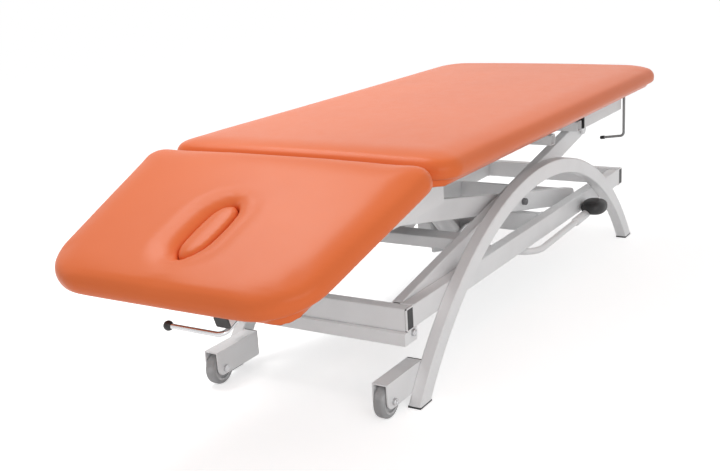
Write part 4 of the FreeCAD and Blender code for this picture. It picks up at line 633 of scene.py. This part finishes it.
class TABLE_OT_head_pad(bpy.types.Operator):
    """Upholster the head section, with the cover drawn down round the face slot"""

    bl_idname = "table.head_pad"
    bl_label = "Head cushion"
    # Points nearer to the slot than this many voxels are held while the cover swells.
    WALL_VOXELS = 2

    def execute(self, context):
        settings = context.scene.table_pads
        face_slot = FaceSlot()

        def from_slot(point):
            return face_slot.distance(face_slot.local(point))

        pad = start_pad("head_pad", "head_cushion", HEAD_UP,
                        lambda point: settings.inset if from_slot(point) > settings.dish_reach else 0)
        walls = [vertex.index for vertex in pad.data.vertices
                 if from_slot(vertex.co) < self.WALL_VOXELS * settings.voxel]
        simulate(pad, below(pad, HEAD_UP) + walls)
        cushion = Cushion("head_cushion", HEAD_SECTION)
        cushion.fill(pad)
        for vertex in pad.data.vertices:
            face_slot.dish(vertex)
        cushion.crown(pad)
        finish_pad(pad, "head", "head_cushion")
        return {"FINISHED"}


class TABLE_OT_face_pad(bpy.types.Operator):
    """Upholster the loose plug of the face slot"""

    bl_idname = "table.face_pad"
    bl_label = "Face plug"

    def execute(self, context):
        pad = start_pad("face_pad", "face_plug", HEAD_UP, lambda point: 0)
        face_slot = FaceSlot()
        for vertex in pad.data.vertices:
            face_slot.plug(vertex)
        Cushion("face_plug", HEAD_SECTION).crown(pad, even=True)
        finish_pad(pad, "face_plug", "face_plug")
        return {"FINISHED"}


# Shapes of the small parts

# A direction leans on X from this share of it on.
NEAR_X = 0.5
ROUND_STEPS = 36
ROD_STEPS = 8
BEVEL_STEPS = 3
# What a sum of lengths may miss by, and how close two points are one.
LENGTH_SLACK = 1e-9
SAME_POINT = 1e-5


def square_to(facing):
    """Give two directions square to a facing direction and to each other."""
    first = Vector((1, 0, 0)) if abs(facing.x) < NEAR_X else Vector((0, 1, 0))
    first = (first - facing * first.dot(facing)).normalized()
    return first, facing.cross(first)


def ring(grid, place, first, second, radius, count):
    """Add a ring of points, whose radius is a number or a function of the angle."""
    points = []
    for number in range(count):
        angle = math.tau * number / count
        reach = radius(angle) if callable(radius) else radius
        points.append(grid.verts.new(place + reach * (math.cos(angle) * first + math.sin(angle) * second)))
    return points


def join(grid, low, high):
    """Join two rings of points by a band of faces."""
    for number in range(len(low)):
        following = (number + 1) % len(low)
        grid.faces.new((low[number], low[following], high[following], high[number]))


def stack(grid, rings):
    """Join rings of points one above the other and close both ends."""
    for low, high in zip(rings, rings[1:]):
        join(grid, low, high)
    grid.faces.new(rings[0])
    grid.faces.new(rings[-1])


def turned(grid, place, facing, profile):
    """Turn a profile about an axis: a radius, or a function of the angle, at each height."""
    first, second = square_to(facing)
    stack(grid, [ring(grid, place + height * facing, first, second, radius, ROUND_STEPS)
                 for radius, height in profile])


def swept(grid, points, radius, closed=False, count=ROD_STEPS):
    """Run a round rod along points, with a radius that is a number or a function of their order."""
    side = None
    rings = []
    for number, point in enumerate(points):
        before = points[number - 1] if number or closed else point
        after = points[(number + 1) % len(points)] if number + 1 < len(points) or closed else point
        along = (after - before).normalized()
        side = square_to(along)[0] if side is None else (side - along * side.dot(along)).normalized()
        thick = radius(number) if callable(radius) else radius
        rings.append(ring(grid, point, side, along.cross(side), thick, count))
    if closed:
        for low, high in zip(rings, rings[1:] + rings[:1]):
            join(grid, low, high)
    else:
        stack(grid, rings)


def walk(points, step, closed=False):
    """Give points at an even step along a line of points, each with its direction."""
    line = points + points[:1] if closed else points
    total = sum((end - start).length for start, end in zip(line, line[1:]))
    count = max(2, round(total / step))
    stops = [total * number / count for number in range(count if closed else count + 1)]
    spaced = []
    passed = 0
    for start, end in zip(line, line[1:]):
        length = (end - start).length
        while stops and stops[0] <= passed + length + LENGTH_SLACK:
            share = (stops.pop(0) - passed) / length
            spaced.append((start.lerp(end, share), (end - start).normalized()))
        passed += length
    return spaced


def slab(grid, low, high, rounding):
    """Add a block with rounded edges between two corners."""
    shaped = bmesh.ops.create_cube(grid, size=1)["verts"]
    for vertex in shaped:
        vertex.co = (low + high) / 2 + vertex.co * (high - low)
    edges = {edge for vertex in shaped for edge in vertex.link_edges}
    bmesh.ops.bevel(grid, geom=list(edges), offset=rounding, segments=BEVEL_STEPS, profile=0.5,
                    affect="EDGES")


def solids(node):
    """Give the corners of each separate solid of a frame node, ordered along the table."""
    mesh = bmesh.new()
    mesh.from_mesh(frame["nodes"][node].data)
    bmesh.ops.remove_doubles(mesh, verts=mesh.verts, dist=SAME_POINT)
    left = set(mesh.verts)
    boxes = []
    while left:
        reached = set()
        waiting = [left.pop()]
        while waiting:
            vertex = waiting.pop()
            reached.add(vertex)
            for edge in vertex.link_edges:
                other = edge.other_vert(vertex)
                if other in left:
                    left.discard(other)
                    waiting.append(other)
        boxes.append(tuple(Vector(pick(vertex.co[axis] for vertex in reached) for axis in range(3))
                           for pick in (min, max)))
    mesh.free()
    return sorted(boxes, key=lambda corners: tuple(corners[0]))


# Edges of the covers under the cushions

# The cover's course round the board: how far out from the rim, and at what share of its thickness.
WRAP_PROFILE = ((0.0165, 1.20), (0.0135, 0.95), (0.0085, 0.55), (0.0040, 0.20), (0.0014, 0.02),
                (-0.0020, -0.10), (-0.0120, -0.13), (-0.0235, -0.10), (-0.0250, -0.02))
WRAP_STEP = 0.007
# Where the cushion's own corner is close, the cover keeps inside it by this much.
CORNER_ROOM = 0.012
LEAST_ROOM_SHARE = 0.1
CLOSE_TO_RIM = 0.0020

# The cover gathers in folds at the corners, and ripples a little all round.
FOLD_DEPTH = 0.0011
FOLD_FULL_BEND = math.radians(4.775)
FOLD_TURN = 2.4
FOLDS_BELOW_SHARE = 0.2
RIPPLE_DEPTH = 0.0002
RIPPLE_TURN = 0.9

# A staple's bent wire: how far along from its middle, and how far up from its back.
STAPLE_SHAPE = ((-0.0055, 0.0014), (-0.0052, 0), (0, -0.0001), (0.0052, 0), (0.0055, 0.0014))
STAPLE_STEP = 0.038
STAPLE_INSET = 0.016
STAPLE_DROP = 0.0022
STAPLE_LEAN = 0.25
STAPLE_TURN = 3.1
STAPLE_WIRE = 0.0006
STAPLE_WIRE_STEPS = 6


class Board(Outline):
    """A board under a cushion."""

    def walk_rim(self, step):
        """Give points at an even step round the rim, each with its direction and the way out."""
        stops = walk([corner.to_3d() for corner in self.corners], step, closed=True)
        return [(point, along, Vector((along.y, -along.x, 0))) for point, along in stops]

    def near_rim(self, point, away, height):
        """Give a place at a distance from the rim and at a height, in the frame's axes."""
        return self.place(Vector((point.x + away.x, point.y + away.y, height)))


def fold_depth(number, bend):
    """Give how deep the cover lies in its folds, where the rim bends by an angle."""
    fold = FOLD_DEPTH * min(1, bend / FOLD_FULL_BEND) * math.sin(FOLD_TURN * number)
    return fold + RIPPLE_DEPTH * math.sin(RIPPLE_TURN * number)


def cover_wrap(grid, board, cushion):
    """Draw the cover round the board's edge and turn it in underneath, gathered at the corners."""
    stops = board.walk_rim(WRAP_STEP)
    thick = board.high.z - board.low.z
    columns = []
    for number, (point, along, out) in enumerate(stops):
        fold = fold_depth(number, along.angle(stops[number - 1][1]))
        room = clamped((cushion.from_edge(point) - CORNER_ROOM) / WRAP_PROFILE[0][0], low=LEAST_ROOM_SHARE)
        column = []
        for reach, share in WRAP_PROFILE:
            away = reach * room if reach > CLOSE_TO_RIM else reach
            away += fold if share < FOLDS_BELOW_SHARE else 0
            level = board.low.z + thick * share - (abs(fold) if share < 0 else 0)
            column.append(grid.verts.new(board.near_rim(point, out * away, level)))
        columns.append(column)
    for number, column in enumerate(columns):
        following = columns[(number + 1) % len(columns)]
        for step in range(len(WRAP_PROFILE) - 1):
            grid.faces.new((column[step], column[step + 1], following[step + 1], following[step]))


def staples(grid, board):
    """Add a row of wire staples that hold the cover under the board."""
    level = board.low.z - STAPLE_DROP
    for number, (point, along, out) in enumerate(board.walk_rim(STAPLE_STEP)):
        lean = (along + out * STAPLE_LEAN * math.sin(STAPLE_TURN * number)).normalized()
        wire = [board.near_rim(point, lean * reach - out * STAPLE_INSET, level + rise)
                for reach, rise in STAPLE_SHAPE]
        swept(grid, wire, STAPLE_WIRE, count=STAPLE_WIRE_STEPS)


class TABLE_OT_covers(bpy.types.Operator):
    """Turn the covers in under the boards and staple them"""

    bl_idname = "table.covers"
    bl_label = "Cover edges"

    def execute(self, context):
        for name, body, section in (("main", "bed", MAIN_SECTION), ("head", "head", HEAD_SECTION)):
            board = Board(name + "_board", section)
            cushion = Cushion(name + "_cushion", section)
            new_piece(name + "_cover_edge", body, "cover_orange",
                      lambda grid: cover_wrap(grid, board, cushion))
            new_piece(name + "_staples", body, "fixing_steel", lambda grid: staples(grid, board))
        return {"FINISHED"}


# Pedals

BAR_RADIUS = 0.0085
BAR_SLOPE = math.radians(1.7)

# A sleeve starts this far from the bar's pivot. Its profile is a radius at each height.
SLEEVE_START = 0.284
SLEEVE_PROFILE = ((0.0086, 0), (0.0105, 0.0006), (0.0118, 0.0028), (0.0118, 0.0852), (0.0105, 0.0874),
                  (0.0086, 0.088))

PEDAL_ROWS = 40
PEDAL_COLUMNS = 64
# The lower the power, the boxier the pedal.
PEDAL_SIDE_POWER = 0.72
PEDAL_POWER = 0.80
# The sole is cut off at a share of the half height, and swells a little below that.
SOLE_SHARE = 0.72
SOLE_SWELL_SHARE = 0.06
TOP_FALL_SHARE = 0.10
# The ribs' height, the angle that they turn through along the pedal, and where they lie.
RIB_HEIGHT = 0.0007
RIB_TURN = 30
RIB_START_SHARE = 0.45
RIB_WIDTH_SHARE = 0.75


def rounded(value, power):
    """Give a share a boxier course, with its sign kept."""
    return math.copysign(abs(value) ** power, value)


def pedal_form(grid, low, high):
    """A moulded pedal: a boxy oval with a flat sole and low ribs across its top."""
    centre, half = (low + high) / 2, (high - low) / 2

    def point(row, column):
        tilt = math.pi * row / PEDAL_ROWS - math.pi / 2
        turn = math.tau * column / PEDAL_COLUMNS
        flat = rounded(math.cos(tilt), PEDAL_SIDE_POWER)
        along = flat * rounded(math.cos(turn), PEDAL_POWER)
        over = flat * rounded(math.sin(turn), PEDAL_POWER)
        rise = rounded(math.sin(tilt), PEDAL_POWER)
        if rise < 0:
            rise = max(rise, SOLE_SWELL_SHARE * rise - SOLE_SHARE)
        else:
            rise *= 1 - TOP_FALL_SHARE * along * along
        ribbed = max(0, rise - RIB_START_SHARE) if abs(over) < RIB_WIDTH_SHARE else 0
        rib = RIB_HEIGHT * math.sin(along * RIB_TURN) * ribbed
        return centre + Vector((half.x * along, half.y * over, half.z * rise + rib))

    stack(grid, [[grid.verts.new(point(row, column)) for column in range(PEDAL_COLUMNS)]
                 for row in range(1, PEDAL_ROWS)])


class TABLE_OT_pedals(bpy.types.Operator):
    """Mould the two foot pedals and put the sleeves on their bar"""

    bl_idname = "table.pedals"
    bl_label = "Pedals"

    def execute(self, context):
        pivot = Vector(joint("pedal_press")["pos_m"])
        bar_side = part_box("pedal_bar")[1].y - BAR_RADIUS
        along = Vector((math.cos(BAR_SLOPE), 0, math.sin(BAR_SLOPE)))
        for side_name, side in SIDES:
            node = "pedal_" + side_name
            low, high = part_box(node)
            pedal = new_piece("foot_" + node, "pedals", "trim_black",
                              lambda grid: pedal_form(grid, low, high))
            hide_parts(node)
            start = pivot + along * SLEEVE_START + Vector((0, side * bar_side, 0))
            new_piece("pedal_sleeve_" + side_name, "pedals", "frame_white",
                      lambda grid: turned(grid, start, along, SLEEVE_PROFILE))
        return {"FINISHED"}


# Bolt heads, pin heads, caps and welds

# A head's rounded rim, in shares of its radius and of its height, and the depth of its socket.
HEAD_SHARES = ((1, -1), (1.02, 0.2), (0.97, 0.7), (0.86, 1))
SOCKET_FLOOR_SHARE = 0.15

# Each node of bolts or pins, its body, its socket as a share of the radius, and the head's height.
HEADS = (("frame_bolts", "base", 0.5, 0.0022), ("base_pins", "base", 0.42, 0.0016),
         ("arm_pins", "inner_arms", 0.42, 0.0016), ("bed_pins", "bed", 0.45, 0.0014))


def socket_head(grid, place, facing, radius, high, socket):
    """A round head with a rounded rim and a hexagonal socket."""
    def hexagon(angle):
        return socket / math.cos((angle + math.pi / 6) % (math.pi / 3) - math.pi / 6)

    rim = [(radius * reach, high * share) for reach, share in HEAD_SHARES]
    turned(grid, place, facing, rim + [(hexagon, high), (hexagon, high * SOCKET_FLOOR_SHARE)])


def socket_heads(grid, node, socket, high):
    """Put a socket head on the outer end of each bolt or pin of a node."""
    for low, top in solids(node):
        centre = (low + top) / 2
        radius = (top.z - low.z) / 2
        if abs(centre.y) > radius:
            side, face = (1, top.y) if centre.y > 0 else (-1, low.y)
            place = Vector((centre.x, face, centre.z))
            socket_head(grid, place, Vector((0, side, 0)), radius, high, radius * socket)


class TABLE_OT_fixings(bpy.types.Operator):
    """Put sockets in the heads of the bolts and pins that can be seen from the sides"""

    bl_idname = "table.fixings"
    bl_label = "Bolt and pin heads"

    def execute(self, context):
        for node, body, socket, high in HEADS:
            new_piece(node + "_heads", body, "fixing_steel",
                      lambda grid: socket_heads(grid, node, socket, high))
        return {"FINISHED"}


# A tube's end: its wall, its corners' radius outside and inside, and how it laps and eases its edges.
TUBE_WALL = 0.0028
TUBE_CORNER = 0.004
TUBE_INNER_CORNER = 0.0015
TUBE_CORNER_STEPS = 4
RIM_LAP = 0.0003
RIM_START = 0.001
RIM_PROUD = 0.0006
RIM_EASE = 0.0004

# The two plates of a bracket's end: how far their corners lie from the end's, and their rounding.
BRACKET_PLATES = (((-0.0004, 0.0004, 0.001), (0.0026, -0.0004, 0.0008), 0.0011),
                  ((0.0022, 0.006, 0.008), (0.0036, -0.006, -0.008), 0.0006))


def tube_loop(grid, low, high, inset, depth):
    """Add a loop round a rectangular tube's section, with rounded corners, at a place along Y."""
    radius = max(TUBE_CORNER - inset, TUBE_INNER_CORNER)
    points = []
    for x_side, z_side, first_angle in ((1, 1, 0), (-1, 1, 90), (-1, -1, 180), (1, -1, 270)):
        x = (high.x if x_side > 0 else low.x) - x_side * (inset + radius)
        z = (high.z if z_side > 0 else low.z) - z_side * (inset + radius)
        for step in range(TUBE_CORNER_STEPS + 1):
            angle = math.radians(first_angle + 90 * step / TUBE_CORNER_STEPS)
            points.append(grid.verts.new((x + radius * math.cos(angle), depth, z + radius * math.sin(angle))))
    return points


def tube_rim(grid, low, high):
    """The end of a rectangular tube round its cap, seen along Y."""
    side = 1 if low.y > 0 else -1
    inner, outer = (low.y, high.y) if side > 0 else (high.y, low.y)
    proud = outer + side * RIM_PROUD
    course = ((RIM_LAP, inner), (-RIM_LAP, inner + side * RIM_START), (-RIM_LAP, outer),
              (RIM_EASE, proud), (TUBE_WALL - RIM_EASE, proud), (TUBE_WALL, outer), (TUBE_WALL, inner))
    rings = [tube_loop(grid, low, high, inset, depth) for inset, depth in course]
    for under, above in zip(rings, rings[1:] + rings[:1]):
        join(grid, under, above)


def beam_ends(grid):
    """The tube ends round the four caps of the side beams."""
    for low, high in solids("beam_caps"):
        tube_rim(grid, low, high)


def bracket_ends(grid):
    """Two black plates on the inner end of each wheel bracket: a thin one over the whole end and a smaller one
    standing on it.
    """
    for side_name, side in SIDES:
        low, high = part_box("wheel_bracket_" + side_name)
        end_low = Vector((high.x, low.y, low.z))
        for low_shift, high_shift, rounding in BRACKET_PLATES:
            slab(grid, end_low + Vector(low_shift), high + Vector(high_shift), rounding)


class TABLE_OT_caps(bpy.types.Operator):
    """Add the tube ends round the beam caps and the black ends of the wheel brackets"""

    bl_idname = "table.caps"
    bl_label = "Tube ends"

    def execute(self, context):
        new_piece("beam_ends", "base", "frame_white", beam_ends)
        new_piece("bracket_ends", "base", "trim_black", bracket_ends)
        return {"FINISHED"}


# A bead's radius swells by a share, and turns on by an angle with each step.
BEAD_STEP = 0.0014
BEAD_RADIUS = 0.0019
BEAD_SWELL_SHARE = 0.20
BEAD_TURN = 1.35
# The outer upright weld keeps this far inside the side beam's outer face.
OUTER_WELD_INSET = 0.004
LEVEL_SLACK = 0.001
# The rails and the tracks are held by short stitches, each starting at a share of its stretch.
STITCHES = 4
RAIL_STITCH = 0.03
RAIL_STITCH_SHARE = 0.3
TRACK_STITCH = 0.026
TRACK_STITCH_SHARE = 0.2


def weld(grid, points, closed=False):
    """A weld bead that swells and thins in small steps, as it was laid."""
    line = [point for point, along in walk(points, BEAD_STEP, closed)]
    swept(grid, line, lambda number: BEAD_RADIUS * (1 + BEAD_SWELL_SHARE * math.sin(BEAD_TURN * number)),
          closed)


def weld_between(grid, side, start, end):
    """A straight weld between two places of the far side, laid on one side of the table."""
    weld(grid, [Vector((x, side * y, z)) for x, y, z in (start, end)])


def weld_round(grid, low, high, across):
    """A weld round a tube's end, in a plane at one place across the table."""
    corners = ((low.x, low.z), (high.x, low.z), (high.x, high.z), (low.x, high.z))
    weld(grid, [Vector((x, across, z)) for x, z in corners], closed=True)


def base_welds(grid):
    """Welds of the cross beams to the side beams."""
    side_low, side_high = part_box("side_beam_far")
    cross_low, cross_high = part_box("cross_beam_mid")
    for side in (-1, 1):
        weld_round(grid, cross_low, cross_high, side * side_low.y)
        for end in (side_low.x, side_high.x):
            for across in (side_low.y, side_high.y - OUTER_WELD_INSET):
                weld_between(grid, side, (end, across, side_low.z), (end, across, side_high.z))
            for level in (side_low.z, side_high.z):
                weld_between(grid, side, (end, side_low.y, level), (end, side_high.y, level))


def stitch_welds(grid, side, low, high, across, level, length, start_share):
    """A row of short welds along the table, evenly spread between two corners."""
    for number in range(STITCHES):
        start = low.x + (high.x - low.x) * (number + start_share) / STITCHES
        weld_between(grid, side, (start, across, level), (start + length, across, level))


def bed_welds(grid):
    """Welds of the cross tubes, bars, rails and roller tracks to the two long tubes of the bed."""
    tube_low, tube_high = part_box("bed_tube_far")
    rail_low, rail_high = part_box("bed_rail_far")
    track_low, track_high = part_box("roller_tracks")
    for low, high in solids("bed_cross_tubes"):
        level = tube_low.z if high.z < tube_low.z + LEVEL_SLACK else tube_high.z
        for side in (-1, 1):
            if high.y < tube_high.y:
                weld_round(grid, low, high, side * high.y)
                continue
            for across in (tube_low.y, tube_high.y):
                if across != tube_high.y or low.x <= rail_low.x:
                    weld_between(grid, side, (low.x, across, level), (high.x, across, level))
    for side in (-1, 1):
        stitch_welds(grid, side, rail_low, rail_high, rail_low.y, tube_low.z, RAIL_STITCH, RAIL_STITCH_SHARE)
        stitch_welds(grid, side, track_low, track_high, track_high.y, track_high.z, TRACK_STITCH,
                     TRACK_STITCH_SHARE)


class TABLE_OT_welds(bpy.types.Operator):
    """Lay the weld beads of the base and of the bed frame"""

    bl_idname = "table.welds"
    bl_label = "Welds"

    def execute(self, context):
        new_piece("base_welds", "base", "frame_white", base_welds)
        new_piece("bed_welds", "bed", "frame_white", bed_welds)
        return {"FINISHED"}


# Studio

# Each lamp's place from the table's middle, and its length and width.
KEY_LAMP = (Vector((0.0, 1.2, 2.3)), (1.8, 1.1))
SIDE_LAMP = (Vector((-1.9, -2.2, 1.1)), (1.8, 1.0))
FLOOR_SQUARES = 8


def lamp(name, place, size, power):
    """Add a large soft lamp at a place from the table's middle, pointing at it."""
    light = bpy.data.lights.new(name, "AREA")
    light.shape = "RECTANGLE"
    light.size, light.size_y = size
    light.energy = power
    body = bpy.data.objects.new(name, light)
    bpy.context.scene.collection.objects.link(body)
    body.location = (CAD_BOX[0] + CAD_BOX[1]) / 2 + place
    body.rotation_mode = "QUATERNION"
    body.rotation_quaternion = (-place).to_track_quat("-Z", "Y")


def seen_directly(tree):
    """Give a factor of 1 for what the camera sees, straight on, in a reflection or through glass."""
    path = tree.nodes.new("ShaderNodeLightPath")
    total = path.outputs["Is Camera Ray"]
    for ray in ("Is Glossy Ray", "Is Transmission Ray"):
        add = tree.nodes.new("ShaderNodeMath")
        add.use_clamp = True
        tree.links.new(total, add.inputs[0])
        tree.links.new(path.outputs[ray], add.inputs[1])
        total = add.outputs["Value"]
    return total


def studio_world(strength):
    """Light the scene evenly, and show the camera and the reflections a white background."""
    world = bpy.data.worlds.new("studio")
    bpy.context.scene.world = world
    world.use_nodes = True
    tree = world.node_tree
    tree.nodes.clear()
    seen = tree.nodes.new("ShaderNodeBackground")
    even = tree.nodes.new("ShaderNodeBackground")
    for light, power in ((seen, 1.0), (even, strength)):
        light.inputs["Strength"].default_value = power
        light.inputs["Color"].default_value = (1, 1, 1, 1)
    mix = tree.nodes.new("ShaderNodeMixShader")
    out = tree.nodes.new("ShaderNodeOutputWorld")
    tree.links.new(seen_directly(tree), mix.inputs["Fac"])
    tree.links.new(even.outputs["Background"], mix.inputs[1])
    tree.links.new(seen.outputs["Background"], mix.inputs[2])
    tree.links.new(mix.outputs["Shader"], out.inputs["Surface"])


def floor_finish(colour, glow):
    """A pale matt floor that the camera sees as near white, with the table's shadow kept."""
    finish = Finish("floor_paint", colour, roughness=0.9)
    finish.bump(finish.noise(scale=40, detail=2), strength=0.02, distance=0.001)
    finish.set(Specular_IOR_Level=0.0)
    tree = finish.tree
    light = tree.nodes.new("ShaderNodeEmission")
    light.inputs["Strength"].default_value = glow
    none = tree.nodes.new("ShaderNodeEmission")
    none.inputs["Strength"].default_value = 0
    mix = tree.nodes.new("ShaderNodeMixShader")
    add = tree.nodes.new("ShaderNodeAddShader")
    tree.links.new(seen_directly(tree), mix.inputs["Fac"])
    tree.links.new(none.outputs["Emission"], mix.inputs[1])
    tree.links.new(light.outputs["Emission"], mix.inputs[2])
    tree.links.new(finish.shader.outputs["BSDF"], add.inputs[0])
    tree.links.new(mix.outputs["Shader"], add.inputs[1])
    tree.links.new(add.outputs["Shader"], tree.nodes["Material Output"].inputs["Surface"])
    return finish.material


class TABLE_OT_stage(bpy.types.Operator):
    """Set up the studio: floor, lamps and camera"""

    bl_idname = "table.stage"
    bl_label = "Studio"

    def execute(self, context):
        settings = context.scene.table_stage
        scene = context.scene
        scene.view_settings.view_transform = "Standard"
        studio_world(settings.world_light)

        def plane(grid):
            bmesh.ops.create_grid(grid, x_segments=FLOOR_SQUARES, y_segments=FLOOR_SQUARES,
                                  size=settings.floor_size / 2)

        floor = bpy.data.objects.new("studio_floor", mesh_from("studio_floor", plane))
        scene.collection.objects.link(floor)
        floor.data.materials.append(floor_finish(scene.table_colours.floor, settings.floor_glow))
        lamp("key_lamp", *KEY_LAMP, settings.key_light)
        lamp("side_lamp", *SIDE_LAMP, settings.side_light)
        camera = bpy.data.objects.new("camera", bpy.data.cameras.new("camera"))
        scene.collection.objects.link(camera)
        scene.camera = camera
        camera.data.sensor_width = 36
        camera.data.lens = settings.camera_lens
        camera.data.clip_start, camera.data.clip_end = 0.05, 200
        camera.location = settings.camera_place
        camera.rotation_mode = "QUATERNION"
        camera.rotation_quaternion = (Vector(settings.camera_aim).to_track_quat("-Z", "Y")
                                      @ Quaternion(UP, settings.camera_roll))
        return {"FINISHED"}


# Panel and registration

STEPS = (TABLE_OT_finishes, TABLE_OT_main_pad, TABLE_OT_head_pad, TABLE_OT_face_pad, TABLE_OT_covers,
         TABLE_OT_pedals, TABLE_OT_fixings, TABLE_OT_caps, TABLE_OT_welds, TABLE_OT_stage)
GROUPS = (("table_colours", TableColours), ("table_pads", PadSettings), ("table_stage", StageSettings))


class TABLE_PT_panel(bpy.types.Panel):
    """Sidebar panel that lists the steps"""

    bl_idname = "TABLE_PT_panel"
    bl_label = "Treatment table"
    bl_space_type = "VIEW_3D"
    bl_region_type = "UI"
    bl_category = "Table"

    def draw(self, context):
        for step in STEPS:
            self.layout.operator(step.bl_idname)
        for name, group in GROUPS:
            box = self.layout.box()
            for key in group.__annotations__:
                box.prop(getattr(context.scene, name), key)


def register():
    """Add the settings, the operators and the panel."""
    for name, group in GROUPS:
        bpy.utils.register_class(group)
        setattr(bpy.types.Scene, name, PointerProperty(type=group))
    for step in STEPS + (TABLE_PT_panel,):
        bpy.utils.register_class(step)


def unregister():
    """Take the panel, the operators and the settings away again."""
    for step in reversed(STEPS + (TABLE_PT_panel,)):
        bpy.utils.unregister_class(step)
    for name, group in reversed(GROUPS):
        delattr(bpy.types.Scene, name)
        bpy.utils.unregister_class(group)


def main():
    """Dress the table step by step."""
    register()
    for step in STEPS:
        category, name = step.bl_idname.split(".")
        getattr(getattr(bpy.ops, category), name)()


if __name__ == "__main__":
    main()
